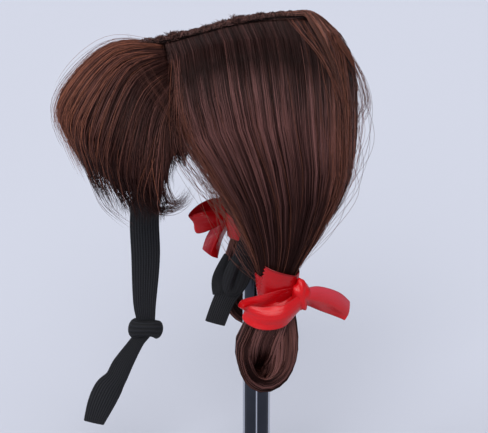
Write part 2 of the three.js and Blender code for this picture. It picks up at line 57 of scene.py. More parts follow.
# Sheets of side hair, from the ridge to the neck where the ribbon is tied. Each row gives the sheet's
# front and rear edge, how far its middle is lifted and stands out, its thickness, and its lean in
# degrees.
SHEET_COLUMNS = ("front_x", "front_y", "front_drop", "rear_x", "rear_y", "rear_drop",
                 "crest", "bulge", "thick", "lean")
SIDE_SECTIONS = [
    (4.2, -63, 15, 4.2, 56, 11, 12, 0.4, 4.5, 80),
    (22, -63.5, 20, 18, 57, 24, 14, 7, 5, 60),
    (36, -63, 43, 34, 56, 50, 20, 9, 6, 35),
    (44, -58, 67, 44, 53, 80, 19, 12, 7, 15),
    (49, -43, 91, 48, 50, 100, 10, 12.5, 9, 0),
    (52, -28.5, 115, 50, 43, 118, 3, 11, 12, 0),
    (53, -17, 142, 52, 29, 142, 0, 10.5, 17, 0),
    (50, -11.5, 162, 50, 17, 162, 0, 12, 24, 0),
    (50, -10, 172, 50, 15.5, 172, 0, 12.5, 25, 0),
]
BACK_SECTIONS = [
    (4.2, 40, 9, 4.2, 58, 18, 1, 0.4, 3, 80),
    (20, 47, 22, 2, 64, 27, 1, 4, 4, 50),
    (35, 47, 46, 2.5, 66, 48, 0, 6, 5, 25),
    (45, 44, 76, 12, 64, 78, 0, 6, 6, 5),
    (50, 40, 98, 27, 58, 102, 0, 5, 7, 0),
    (52, 33, 118, 40, 47, 122, 0, 4, 8, 0),
    (54, 20, 142, 50, 28, 144, 0, 1, 4, 0),
]
# The last pair of a sheet gives how far in from its front and rear edge its strands are painted lighter
# and warmer, as painted rim light.
SIDE_SHEET = {"sections": SIDE_SECTIONS, "facing": 0.0, "clumps": 130, "rim_light": (0.08, 0.2)}
BACK_SHEET = {"sections": BACK_SECTIONS, "facing": 58.0, "clumps": 44, "rim_light": (0.4, 0.2)}

# Fringe: root, crest, brow and tip of a lock, each as x, y, drop, from the middle to the temple. Its
# long locks end at LONG_SHARE of the way, and short ones fill the temple from TEMPLE_SHARE on.
FRINGE_SECTIONS = [
    (0, -61.5, 16.5, 0, -99.5, 16, 0, -131, 50, 0, -116, 101),
    (9, -61.5, 17.5, 17, -97, 19.5, 27, -125, 53, 23, -111, 109),
    (20, -62, 22, 33, -88, 32, 46, -104, 68, 42, -94, 121),
    (33, -62.5, 38, 43.5, -72, 57, 53, -77.5, 86, 52, -73, 118),
    (39, -61.5, 50, 46, -66, 62, 49.5, -66, 72, 51, -64, 82),
    (44, -58, 64, 47.5, -59, 69, 49, -58, 74, 49.5, -55.5, 80),
]
LONG_SHARE = 0.62
TEMPLE_SHARE = 0.68

# Ridge along the parting: y and drop of its middle, from the front to the back.
RIDGE_LINE = [(-86, 12.8), (-63, 10.8), (-40, 7), (-19, 2.4), (0, -0.5), (22, -1.6), (39, 1), (56, 14)]
RIDGE_RADIUS = 3.3

# Bun: the looped end of a pigtail. Each row is y and fall from the neck, half width and half depth.
BUN_SECTIONS = [
    (2, -4, 5.5, 8),
    (3.5, 18, 8, 10.5),
    (4, 38, 10, 13.5),
    (3.5, 54, 9.5, 14),
    (-0.5, 67, 8, 14),
    (-9, 73.5, 6, 13),
    (-18, 68, 5, 12.5),
    (-22.5, 56, 4.5, 12),
    (-23, 42, 4.5, 12),
    (-12, 18, 4, 10),
    (-3, -4, 4, 8),
]
BUN_FALL = 73.0
BUN_ROUND = 8.0  # how far its flanks are drawn up at its foot
BUN_SINK = 0.3  # how far its loop lies below the table's places
BUN_STREAKS = 70

# Ribbons and straps: x, y, drop and half width along a strip, and the lean or turn of its width in
# degrees.
RIBBON_LOOPS = {
    "left": [
        (64, 14, 174, 5, 10),
        (67, 5, 176, 7.5, 5),
        (66, -9, 180, 8, -5),
        (62, -21.5, 184, 7, -20),
        (69, -12, 188, 8, 25),
        (72, 2, 186, 8.5, 20),
        (67, 15, 179, 6, 10),
    ],
    "right": [
        (66, -7, 162, 5, 0),
        (70, -14, 157, 7, -10),
        (68, -25, 160, 8, -15),
        (63, -33, 166, 8, -20),
        (60, -25, 164, 8, -10),
        (61, -15, 163, 6, 0),
        (66, -7, 164, 5, 0),
    ],
}
RIBBON_TAILS = {
    "left": [(66, 16, 176, 5, 0), (62, 27, 179, 8, 5), (57, 41, 187, 8.8, 12), (52, 54, 197.5, 6.0, 8)],
    "right": [(66, -7, 164, 4, -60), (64, -13, 172, 6, -65), (61, -19, 181, 7, -70),
              (58, -23, 191, 7, -70)],
}
RIBBON_KNOTS = {"left": (64.5, 16, 175.5), "right": (66.5, -6, 163)}
RIBBON = {"thick": 0.5, "wrap_top": 15.2, "wrap_foot": 12.9, "wrap_height": 20.0,
          "knot": (5.2, 6.2, 11.5)}
RIBBON_TEETH = 11
RIBBON_END = (-80, -44, 48)  # degrees round the neck: foot and top of its cut edge, and its far end
STRAP_ROWS = {
    "left": [
        (40, -20, 57, 10, 3),
        (38.5, -13, 90, 10, 0),
        (34, -8, 135, 10, 0),
        (31, -19.5, 171, 9.5, 0),
        (31, -29.5, 188, 8, 0),
        (31, -36.5, 206, 7.5, 0),
    ],
    "right": [
        (36.5, -41, 57, 10, 16),
        (36.6, -47, 80, 10, 14),
        (39.5, -63, 105, 10, 6),
        (42, -72.6, 143, 10.6, 0),
        (42, -73, 182, 10.6, 0),
        (42, -74.5, 217, 8.6, 0),
        (43, -74, 238, 6, 0),
        (44, -81, 249, 5.8, 0),
        (46, -91, 266, 8, 0),
        (47, -96, 277, 8.6, 0),
        (48, -102, 286, 11, 0),
        (49, -108, 299, 10.6, 0),
        (50, -114, 315, 8, 0),
    ],
}

# Knots of the straps, each at a row of its strap, and the rows of a loose flange from the left knot.
STRAP_KNOTS = {
    "left": {"row": 3, "half_width": 9.0, "half_height": 15.5, "tilt": 18.0},
    "right": {"row": 6, "half_width": 13.4, "half_height": 7.5, "tilt": 9.0},
}
STRAP_FLANGE = [(-3, -8, -15, 1.5, 0), (-1, -13.5, 1, 5, 0), (0, -13, 13, 5.5, 0)]
STRAP = {"thick": 1.3, "knot_half_depth": 5.5, "bight_forward": 2.0}

# How near to each other two corners are made one.
CAP_MERGE = 0.01
SEAM_MERGE = 0.05


# Tables and curves

def smooth_through(pick, last, t):
    """A smooth curve at t, 0 at its first knot and 1 at its last. Pick gives the knots of an index."""
    along = np.clip(t, 0, 1) * last
    i = np.minimum(along.astype(int), last - 1)
    f = (along - i)[..., None]
    a, b, c, d = (pick(np.clip(i + k, 0, last)) for k in (-1, 0, 1, 2))
    return b + 0.5 * f * (c - a + f * (2 * a - 5 * b + 4 * c - d + f * (3 * (b - c) + d - a)))


def table_at(rows, t):
    """Smooth rows of a table at t."""
    rows = np.asarray(rows, float)
    return smooth_through(lambda i: rows[i], len(rows) - 1, np.asarray(t, float))


def curves_at(knots, t):
    """Points at t on smooth curves, where knots is (curves, knots, 3) and t is (curves, points)."""
    each = np.arange(len(knots))[:, None]
    return smooth_through(lambda i: knots[each, i], knots.shape[1] - 1, t)


def blend(a, b, t):
    """Between a at 0 and b at 1."""
    return a + (b - a) * t


def smooth(t):
    """Eased step from 0 to 1."""
    t = np.clip(t, 0, 1)
    return t * t * (3 - 2 * t)


def unit(v):
    return v / np.maximum(np.linalg.norm(v, axis=-1, keepdims=True), 1e-9)


def direction(line, t, step=0.01):
    """The direction of a line of points at t."""
    return unit(line(np.clip(t + step, 0, 1)) - line(np.clip(t - step, 0, 1)))


def at(x, y, drop):
    return np.stack(np.broadcast_arrays(x, y, CROWN - np.asarray(drop, float)), -1)


def spread(low, high, count):
    """Repeatable random values in a column, one for each strand."""
    return rng.uniform(low, high, (count, 1))


def scatter(size, count):
    """Repeatable random values round 0 in a column, one for each strand."""
    return rng.normal(0, size, (count, 1))


def shake(size, count):
    """Repeatable random shifts, one for each strand."""
    return rng.normal(0, size, (count, 1, 3))


def shared(low, high, group, groups):
    """Repeatable random values, one for all the strands of a group."""
    return rng.uniform(low, high, groups)[group]


def either_side(count):
    """1 or -1 for each strand."""
    return np.where(rng.random((count, 1)) > 0.5, 1, -1)


def lanes(count):
    """Places from 0 to 1 across, one for each strand, in order and a little uneven."""
    return ((np.arange(count) + rng.random(count)) / count)[:, None]


def lot(x, lots):
    """Which of some even lots a place from 0 to 1 falls in."""
    return np.minimum((x * lots).astype(int), lots - 1)


def waves(turns, count):
    """Sines along the strands, each with a start of its own."""
    return np.sin(2 * np.pi * (turns + spread(0, 1, count)))


def places(rings):
    """Even places from 0 to 1 along a strand."""
    return np.linspace(0, 1, rings)[None]


def mirrored(knots, sign):
    """Knots of x, y, drop on the left side, or mirrored to the right."""
    return [(sign * x, y, drop) for x, y, drop in knots]


# Strands

TUBE_SIDES = 3


def tubes(points, radius, across):
    """Corners and triangles of closed three-sided tubes along lines of points, pointed at both ends."""
    count, rings, _ = points.shape
    along = unit(np.gradient(points, axis=1))
    side = unit(np.cross(along, across))
    up = np.cross(along, side)
    turn = 2 * np.pi * np.arange(TUBE_SIDES) / TUBE_SIDES
    circle = side[:, 1:-1, None] * np.cos(turn)[:, None] + up[:, 1:-1, None] * np.sin(turn)[:, None]
    body = points[:, 1:-1, None] + circle * radius[:, 1:-1, None, None]
    corners = np.concatenate([points[:, :1], body.reshape(count, -1, 3), points[:, -1:]], axis=1)
    ring = np.concatenate([[0], np.repeat(np.arange(1, rings - 1), TUBE_SIDES), [rings - 1]])
    faces = []
    tip = corners.shape[1] - 1
    for k in range(TUBE_SIDES):
        n = (k + 1) % TUBE_SIDES
        faces += [(0, 1 + n, 1 + k), (tip - TUBE_SIDES + k, tip - TUBE_SIDES + n, tip)]
        for r in range(rings - 3):
            a, b = 1 + TUBE_SIDES * r + k, 1 + TUBE_SIDES * r + n
            faces += [(a, b, b + TUBE_SIDES), (a, b + TUBE_SIDES, a + TUBE_SIDES)]
    triangles = np.asarray(faces)[None] + (np.arange(count) * (tip + 1))[:, None, None]
    return corners.reshape(-1, 3), triangles.reshape(-1, 3), ring


SHADES = ("tint", "warmth_and_rim_light", "painted_sheen")


def strands(points, radius, tint, warmth_and_rim_light, painted_sheen=0.0, across=(1, 0, 0), taper_from=0.75, tip=0.25):
    """A group of strands: lines of points with a radius, a tint from dark to light that also carries
    painted light and shade, a reddish warmth that is partly the hair's own tone and partly painted rim
    light, and a grey painted sheen."""
    count, rings, _ = points.shape
    t = places(rings)
    taper = 1 - (1 - tip) * smooth((t - taper_from) / (1 - taper_from))
    whole = (count, rings)
    values = {"radius": radius * taper, "tint": tint, "warmth_and_rim_light": warmth_and_rim_light, "painted_sheen": painted_sheen}
    group = {key: np.broadcast_to(value, whole) for key, value in values.items()}
    return {"points": points, "across": np.asarray(across, float), **group}


def lightness(lane, streaks):
    """How light strands are by their lane, from 0 to 1 across: mostly dark, with a few light streaks."""
    def bands(number):
        return rng.random(number)[lot(lane, number)] ** 3
    return 1.4 * bands(streaks) + 0.1 * bands(streaks // 3) + 0.42 * rng.random(lane.shape) ** 2


def crowd(rings, share):
    """Places from 0 to 1 along a strand that are closer together in its middle."""
    s = places(rings)
    return s + share / (2 * np.pi) * np.sin(2 * np.pi * s)


def strand_piece(name, groups):
    """One mesh object of all the groups' strands, with their shades as attributes of its corners."""
    corners, triangles, first = [], [], 0
    shades = {shade: [] for shade in SHADES}
    for g in groups:
        points, faces, ring = tubes(g["points"], g["radius"], g["across"])
        corners.append(points)
        triangles.append(faces + first)
        for shade in SHADES:
            shades[shade].append(g[shade][:, ring].ravel())
        first += len(points)
    corners, triangles = np.concatenate(corners) * MM, np.concatenate(triangles)
    mesh = bpy.data.meshes.new(name)
    mesh.vertices.add(len(corners))
    mesh.vertices.foreach_set("co", corners.astype(np.float32).ravel())
    mesh.loops.add(triangles.size)
    mesh.loops.foreach_set("vertex_index", triangles.astype(np.int32).ravel())
    mesh.polygons.add(len(triangles))
    mesh.polygons.foreach_set("loop_start", np.arange(0, triangles.size, 3, dtype=np.int32))
    mesh.update(calc_edges=True)
    for shade, values in shades.items():
        layer = mesh.attributes.new(shade, "FLOAT", "POINT")
        layer.data.foreach_set("value", np.clip(np.concatenate(values), 0, 1).astype(np.float32))
    mesh.shade_smooth()
    piece = bpy.data.objects.new(name, mesh)
    bpy.context.scene.collection.objects.link(piece)
    return piece


def alone(piece):
    """Selects one piece and nothing else."""
    bpy.ops.object.select_all(action="DESELECT")
    piece.select_set(True)
    bpy.context.view_layer.objects.active = piece


def joined(piece, *others):
    """One object from several, under the first one's name."""
    alone(piece)
    for other in others:
        other.select_set(True)
    bpy.ops.object.join()
    return piece


def place(piece, node, finish):
    """Gives a piece its finish and puts it in a CAD node's stead."""
    piece.data.materials.clear()
    piece.data.materials.append(finish)
    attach(piece, "root")
    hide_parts(node)
    return piece


# Materials

def linear(red, green, blue):
    """A linear colour from an 8-bit screen colour."""
    def channel(v):
        v /= 255
        return v / 12.92 if v <= 0.04045 else ((v + 0.055) / 1.055) ** 2.4
    return (channel(red), channel(green), channel(blue), 1.0)


class Shade:
    """A socket in a node tree. Arithmetic on it adds Math nodes, and add() adds any other node."""

    def __init__(self, tree, socket=None):
        self.tree, self.socket = tree, socket

    def add(self, kind, settings=None, inputs=None, output=0):
        node = self.tree.nodes.new(kind)
        for name, value in (settings or {}).items():
            setattr(node, name, value)
        for name, value in (inputs or {}).items():
            if isinstance(value, Shade):
                self.tree.links.new(value.socket, node.inputs[name])
            else:
                node.inputs[name].default_value = value
        return Shade(self.tree, node.outputs[output])

    def math(self, operation, *values):
        return self.add("ShaderNodeMath", {"operation": operation}, dict(enumerate(values)))

    def __add__(self, other):
        return self.math("ADD", self, other)

    def __sub__(self, other):
        return self.math("SUBTRACT", self, other)

    def __rsub__(self, other):
        return self.math("SUBTRACT", other, self)

    def __mul__(self, other):
        return self.math("MULTIPLY", self, other)

    __radd__ = __add__
    __rmul__ = __mul__

    def sine(self):
        return self.math("SINE", self)

    def mix(self, low, high):
        """A colour from low at 0 to high at 1."""
        return self.add("ShaderNodeMix", {"data_type": "RGBA"}, {0: self, 6: low, 7: high}, output=2)

    def bump(self, strength, distance):
        inputs = {"Strength": strength, "Distance": distance, "Height": self}
        return self.add("ShaderNodeBump", inputs=inputs)


def material(name, **constants):
    """A material with one Principled shader. Returns it, its inputs and a Shade to start from."""
    made = bpy.data.materials.new(name)
    made.use_nodes = True
    shader = made.node_tree.nodes["Principled BSDF"]
    for key, value in constants.items():
        shader.inputs[key.replace("_", " ")].default_value = value
    return made, shader.inputs, Shade(made.node_tree)


def feed(shade, socket):
    shade.tree.links.new(shade.socket, socket)


def attribute(graph, name):
    return graph.add("ShaderNodeAttribute", {"attribute_name": name}, output="Fac")


def coordinates(graph, kind):
    return graph.add("ShaderNodeTexCoord", output=kind)


def noise(graph, vector, scale, detail):
    return graph.add("ShaderNodeTexNoise", inputs={"Vector": vector, "Scale": scale, "Detail": detail})


# Screen colours of the finishes, from dark to light where there are two.
# the reddish light brown is partly the hair's own tone and partly painted rim light
HAIR_BROWN = (25, 6, 4), (118, 80, 78), (142, 84, 60)  # dark, light, and light where it is reddish
WEFT_BROWN = (24, 13, 12), (132, 96, 93), (152, 94, 72)
# grey of the painted sheen just below the hair's roots
HAIR_PAINTED_SHEEN = (92, 84, 82)
SATIN_RED = (166, 5, 12), (214, 12, 22)
SATIN_EDGE_AND_PAINTED_SHADE = (116, 1, 6)  # the ribbon's woven edges, and painted shade on the ribbon round the neck under the hair
SATIN_PAINTED_GLOSS = (176, 76, 92)  # painted sheen towards the upper edge of a loose end
ELASTIC_BLACK = (8, 8, 10), (26, 27, 33)
NET_BROWN = (15, 11, 11), (52, 42, 40)
CHROME_GREY = (46, 48, 54), (64, 66, 73)
# the painted reflection along the pole
CHROME_PAINTED_REFLECTION = (184, 187, 196)
PLASTIC_BLACK = (22, 22, 24), (40, 40, 43)


def tone(factor, colours):
    """A colour between two screen colours."""
    dark, light = colours
    return factor.mix(linear(*dark), linear(*light))


def hair_material(name, browns, roughness):
    made, inputs, graph = material(name, Roughness=roughness, Specular_IOR_Level=0.12)
    tint, warmth_and_rim_light, painted_sheen = (attribute(graph, shade) for shade in SHADES)
    brown = tint.mix(linear(*browns[0]), tone(warmth_and_rim_light, browns[1:]))
    # the grey painted sheen is laid over the brown
    feed(painted_sheen.mix(brown, linear(*HAIR_PAINTED_SHEEN)), inputs["Base Color"])
    return made


SATIN_GATHERS = (5.0, 2.2, 1.0)  # soft creases over the width and over the length
SATIN_THREADS = 420.0  # radians of the weave's ripple over the width
SATIN_FLECKS = 1300.0
SATIN_EDGE = 0.455  # where the woven edge begins, from the middle of the width
SATIN_SHEEN_FROM = 0.42  # how far up the width the painted sheen begins


def satin_material():
    made, inputs, graph = material("satin", Roughness=0.26, Specular_IOR_Level=0.3)
    uv = coordinates(graph, "UV")
    across = graph.add("ShaderNodeSeparateXYZ", inputs={0: uv}, output="X")
    threads = (across * SATIN_THREADS).sine()
    edge = graph.math("GREATER_THAN", graph.math("ABSOLUTE", across - 0.5), SATIN_EDGE)
    flecks = noise(graph, coordinates(graph, "Object"), SATIN_FLECKS, 3.0)
    red = tone(flecks * 0.5 + threads * 0.08, SATIN_RED)
    # darker on the woven edges, and with painted shade where the deep attribute says: on the ribbon
    # round the neck under the hair
    edged_and_shaded = (edge * 0.45 + attribute(graph, "deep")).mix(red, linear(*SATIN_EDGE_AND_PAINTED_SHADE))
    # a painted sheen near the upper edge of the loose end
    painted_gloss = attribute(graph, "painted_gloss") * graph.math("MAXIMUM", across - SATIN_SHEEN_FROM, 0.0)
    feed(painted_gloss.mix(edged_and_shaded, linear(*SATIN_PAINTED_GLOSS)), inputs["Base Color"])
    drawn = graph.add("ShaderNodeMapping", inputs={"Vector": uv, "Scale": SATIN_GATHERS})
    gathers = noise(graph, drawn, 1.0, 2.0)
    feed((threads * 0.012 + flecks * 0.06 + gathers).bump(0.5, 0.0016), inputs["Normal"])
    return made


ELASTIC_RIBS = 11  # over the width
ELASTIC_PICKS = 260  # over the length


def elastic_material():
    made, inputs, graph = material("elastic", Roughness=0.72, Specular_IOR_Level=0.3)
    uv = coordinates(graph, "UV")
    across = graph.add("ShaderNodeSeparateXYZ", inputs={0: uv}, output="X")
    along = graph.add("ShaderNodeSeparateXYZ", inputs={0: uv}, output="Y")
    ribs = (across * (2 * math.pi * ELASTIC_RIBS)).sine() * 0.5 + 0.5
    picks = (along * (2 * math.pi * ELASTIC_PICKS)).sine() * 0.5 + 0.5
    feed(tone(ribs * 0.75 + picks * 0.25, ELASTIC_BLACK), inputs["Base Color"])
    feed((ribs + picks * 0.3).bump(0.7, 0.0006), inputs["Normal"])
    return made


NET_CELLS = 420.0
NET_WEFTS = 26.0


def net_material():
    made, inputs, graph = material("cap_net", Roughness=0.85, Specular_IOR_Level=0.2)
    place_on = coordinates(graph, "Object")
    cells = graph.add("ShaderNodeTexVoronoi", {"feature": "DISTANCE_TO_EDGE"},
                      {"Vector": place_on, "Scale": NET_CELLS})
    wefts = graph.add("ShaderNodeTexWave", {"bands_direction": "Z"},
                      {"Vector": place_on, "Scale": NET_WEFTS, "Distortion": 0.6})
    mesh = graph.math("LESS_THAN", cells, 0.12)
    feed(tone(mesh * 0.5 + wefts * 0.4, NET_BROWN), inputs["Base Color"])
    feed((wefts + mesh * 0.4).bump(0.6, 0.0008), inputs["Normal"])
    return made


CHROME_WEAR = 60.0
PLASTIC_GRAIN = 4000.0
POLE_RADIUS = 0.010  # in metres, as the finish reads places
POLE_TURN = math.radians(-12)
POLE_LINE = (-math.sin(POLE_TURN), math.cos(POLE_TURN), 0.0)  # across the tube's thin front line of painted reflection


def chrome_material(name, tube):
    """Smoked chrome. A tube has a painted reflection: a thin bright line along its front and back, and
    bright flanks.
    """
    made, inputs, graph = material(name, Metallic=1.0)
    place_on = coordinates(graph, "Object")
    wear = noise(graph, place_on, CHROME_WEAR, 4.0)
    colour = tone(wear, CHROME_GREY)
    if tube:
        across = graph.add("ShaderNodeVectorMath", {"operation": "DOT_PRODUCT"},
                           {0: place_on, 1: POLE_LINE}, "Value")
        off = graph.math("ABSOLUTE", across * (1 / POLE_RADIUS))
        # painted reflection: a thin line along the front and back, and the flanks
        painted_reflection = graph.math("LESS_THAN", off, 0.045) + graph.math("GREATER_THAN", off, 0.85)
        colour = painted_reflection.mix(colour, linear(*CHROME_PAINTED_REFLECTION))
    feed(colour, inputs["Base Color"])
    feed(wear * 0.1 + 0.16, inputs["Roughness"])
    return made


def plastic_material():
    made, inputs, graph = material("rest_plastic", Specular_IOR_Level=0.4)
    grain = noise(graph, coordinates(graph, "Object"), PLASTIC_GRAIN, 2.0)
    feed(tone(grain * 0.5, PLASTIC_BLACK), inputs["Base Color"])
    feed(grain * 0.2 + 0.4, inputs["Roughness"])
    return made


HAIR = hair_material("hair", HAIR_BROWN, 0.4)
WEFT = hair_material("weft", WEFT_BROWN, 0.5)
SATIN = satin_material()
ELASTIC = elastic_material()
NET = net_material()
CHROME = chrome_material("chrome", False)
POLE_CHROME = chrome_material("pole_chrome", True)
PLASTIC = plastic_material()

for node, finish in (("stand_base", CHROME), ("stand_pole", POLE_CHROME), ("stand_rest", PLASTIC)):
    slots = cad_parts[node].data.materials
    slots.clear()
    slots.append(finish)


# Ridge line

def ridge_at(t):
    row = table_at(RIDGE_LINE, t)
    return at(np.zeros(row.shape[:-1]), row[..., 0], row[..., 1])


def ridge_under(y):
    """Points just under the ridge at places y along it."""
    line = ridge_at(np.linspace(0, 1, 60))
    return np.stack([0 * y, y, np.interp(y, line[:, 1], line[:, 2]) - 0.25 * RIDGE_RADIUS], -1)


# Side hair

BACKING_THICK = 0.8
ROOT_SHARE = 0.09  # how far down a sheet its hair leaves the ridge
STRAND_RADIUS = 0.165
STRAY_RADIUS = 0.1
ROOT_CROWDING = 1.35  # above 1, a strand's points are closer together near its root


def sheet_points(sheet, side, w, t, lift):
    """Points of a sheet at w from its front to its rear edge and t from root to neck. Lift takes the
    sheet's thickness and gives how far over its outer face the points lie."""
    row = dict(zip(SHEET_COLUMNS, np.moveaxis(table_at(sheet["sections"], t), -1, 0)))
    facing, lean = math.radians(sheet["facing"]), np.radians(row["lean"])
    s = 2 * w - 1
    arch = np.sqrt(np.clip(1 - s * s, 0, None))
    over = lift(row["thick"])
    out = (row["bulge"] + over * np.cos(lean)) * arch
    x, y, drop = (blend(row["front_" + axis], row["rear_" + axis], w) for axis in ("x", "y", "drop"))
    x = x + out * math.cos(facing)
    y = y + out * math.sin(facing)
    drop = drop - row["crest"] * arch ** 2 - over * np.sin(lean) * arch
    longer = 1 + t * (side["tie_drop"] / SIDES["left"]["tie_drop"] - 1)
    points = at(side["sign"] * x, y, drop * longer)
    under = ridge_under(y)
    under[..., 0] = side["sign"]
    return blend(points, under, (1 - smooth(t / ROOT_SHARE))[..., None])


# Painted light and shade along a sheet from root to neck: dull roots, a band of painted shade, a broad
# painted highlight and painted shade towards the neck.
SHEET_PAINTED_LIGHT = ((0, 0.1, 0.17, 0.24, 0.3, 0.35, 0.42, 0.5, 0.6, 0.75, 1.0),
               (0.2, 0.2, 0.05, 0.14, 1.0, 1.95, 1.75, 0.8, 0.36, 0.12, 0.05))
SHEET_STREAKS = 190


def sheet_strands(sheet, side, count, rings, deepest, inner=False, start=0.0):
    """Strands that lie in a sheet near its outer or its inner face, drawn together in clumps."""
    clumps = sheet["clumps"]
    w = lanes(count)
    clump = lot(w, clumps)
    home = (clump + 0.5 + shared(-0.3, 0.3, clump, clumps)) / clumps
    t = blend(start, 1, places(rings) ** ROOT_CROWDING)
    swell = np.sin(np.pi * np.clip(t, 0, 1))
    wave = 0.006 * waves(spread(0.6, 1.8, count) * t, count) * swell
    fray = 0.035 * scatter(1, count) * np.maximum(smooth((0.07 - w) / 0.07), smooth((w - 0.95) / 0.05))
    line = w + (home - w) * spread(0.2, 0.8, count) * smooth(t / 0.6) + wave + fray * swell
    depth = deepest * rng.random((count, 1)) ** 2
    border = np.abs(2 * (w * clumps - clump) - 1) ** 4
    proud = (shared(-1.0, 0.8, clump, clumps) - 0.5 * border + spread(-0.5, 0.4, count)) * swell
    face, share = (-1, 1 - depth) if inner else (1, depth)
    points = sheet_points(sheet, side, line, t, lambda thick: face * proud - share * thick)
    points = points + shake(0.4, count) * swell[..., None]

    # Painted rim light: strands near the front and rear edge are painted lighter and warmer.
    front, rear = sheet["rim_light"]
    front_rim_light = 0.7 * smooth((front - w) / front) * smooth((t - 0.3) / 0.25)
    edge = np.maximum(smooth((w - 1 + rear) / rear), front_rim_light)
    # painted shade darkens the strands where clumps part
    light = lightness(w, SHEET_STREAKS) - 0.15 * border + 0.35 * edge
    # painted shade darkens the strands that lie deeper in the sheet
    tint = light * np.interp(t + scatter(0.025, count), *SHEET_PAINTED_LIGHT) - 0.5 * depth
    # warmer at the rims as painted rim light; a few warmer strands are the hair's own tone
    warmth_and_rim_light = 0.04 + edge * spread(0.15, 0.8, count) + 0.2 * (rng.random((count, 1)) > 0.93)
    # a grey painted sheen just below the roots
    painted_sheen = spread(0.05, 0.32, count) * np.exp(-((t - 0.07) / 0.035) ** 2)
    radius = STRAND_RADIUS * spread(0.8, 1.25, count)
    return strands(points, radius, tint, warmth_and_rim_light, painted_sheen, across=(0, 1, 0), tip=0.6)


def stray_strands(sheet, side, count, w_range, push, rings=14):
    """Thin loose strands that leave a sheet along part of its way and bow out by up to push."""
    w = spread(*w_range, count)
    start, end = spread(0.05, 0.5, count), spread(0.6, 1.0, count)
    t = blend(start, end, places(rings))
    bow = np.sin(np.pi * places(rings)) ** 1.3
    points = sheet_points(sheet, side, w, t, lambda thick: 0.6)
    away = np.asarray(push, float) * rng.random((count, 1, 1)) ** 1.5 + shake(1.6, count)
    points = points + away * bow[..., None]
    # loose strands are warmer in part as painted rim light
    return strands(points, STRAY_RADIUS * spread(0.7, 1.4, count), spread(0.3, 0.9, count),
                   spread(0.2, 0.9, count), across=(0, 1, 0))


def lock(knots, count, rings, wide, radius, tint, warmth_and_rim_light, loosen=1.0):
    """A lock of strands round a smooth line through knots of x, y, drop, which can loosen to its end."""
    line = at(*np.asarray(knots, float).T)[None].repeat(count, 0)
    t = places(rings) * spread(0.82, 1.0, count)
    points = curves_at(line, t)
    off = shake(wide, count) * (1 + (loosen - 1) * t[..., None])
    wave = shake(0.35, count) * waves(t, count)[..., None]
    return strands(points + off + wave, radius * spread(0.7, 1.3, count), tint + scatter(0.12, count),
                   warmth_and_rim_light + spread(-0.1, 0.25, count), taper_from=0.5, tip=0.15)


# A loose lock that loops out behind the head, as x, y, drop.
REAR_LOOP = [(16, 50, 10), (24, 59, 24), (26, 66, 37), (25, 71, 54), (24, 69, 63),
             (26, 61, 74), (30, 57, 80)]

# Loose strands from the top of the fringe across the temple and along the sheet's front edge.
TEMPLE_CROSS = [(31, -85.8, 17.8), (38, -79.4, 29), (43, -73.5, 38.8), (48, -65.4, 53.8),
                (51, -56.8, 65.9), (54, -49.2, 79.8), (56, -41.2, 96)]


def crown_sweep(side, count, rings=14):
    """Strands combed back from the rear of the ridge to the sheet's rear edge, and down along that."""
    end = spread(0.45, 0.95, count)
    t = end * places(rings)
    root, goal = 0.98 - 0.3 * rng.random((count, 1)) ** 3, spread(0.92, 1.0, count)
    w = root + np.maximum(goal - root, 0) * smooth(t / 0.34)
    proud = spread(0.2, 2.2, count) * np.sin(np.pi * np.clip(t / 0.9, 0, 1)) + 0.3
    points = sheet_points(SIDE_SHEET, side, w, t, lambda thick: proud)
    points = points + shake(0.6, count) * smooth(t / 0.2)[..., None]
    return strands(points, STRAND_RADIUS * spread(0.7, 1.2, count), 0.45 + scatter(0.25, count),
                   spread(0.1, 0.9, count), across=(0, 1, 0))


def sheet_backing(sheet, side):
    """A thin layer in the hair's darkest brown in the middle of a sheet, so that no light shows between
    its strands: painted shade for the inside of the sheet.
    """
    piece, c, t = grid("backing", 12, 20)
    points = sheet_points(sheet, side, 0.5 + 0.46 * c, 0.11 + 0.89 * t, lambda thick: -0.6 * thick)
    return formed(piece, points, BACKING_THICK)


def side_hair(name, side):
    """The strands of one side over their backing."""
    sign = side["sign"]

    def many(count):
        return int(count * side["strands"])

    groups = [
        sheet_strands(SIDE_SHEET, side, many(1850), 11, 0.35),
        sheet_strands(SIDE_SHEET, side, many(220), 9, 0.25, inner=True, start=0.45),
        sheet_strands(BACK_SHEET, side, many(480), 10, 0.4),
        sheet_strands(BACK_SHEET, side, many(80), 8, 0.25, inner=True, start=0.5),
        crown_sweep(side, many(90)),
        stray_strands(SIDE_SHEET, side, many(80), (0.0, 0.06), (sign * 3, -15, -10)),
        stray_strands(SIDE_SHEET, side, many(25), (0.8, 1.0), (sign * 2, 12, 3)),
        stray_strands(BACK_SHEET, side, many(20), (0.3, 1.0), (sign * 2, 13, 2)),
        stray_strands(SIDE_SHEET, side, many(20), (0.1, 0.9), (sign * 4, 0, 2)),
        lock(mirrored(REAR_LOOP, sign), many(30), 16, 1.5, 0.1, 0.5, 0.6, loosen=1.5),
        lock(mirrored(TEMPLE_CROSS, sign), many(18), 14, 3.6, 0.055, 0.35, 0.4),
    ]
    hair = strand_piece("hair_" + name, groups)
    return joined(hair, sheet_backing(SIDE_SHEET, side), sheet_backing(BACK_SHEET, side))


# Fringe

FRINGE_CLUMPS = 70
FRINGE_STREAKS = 210
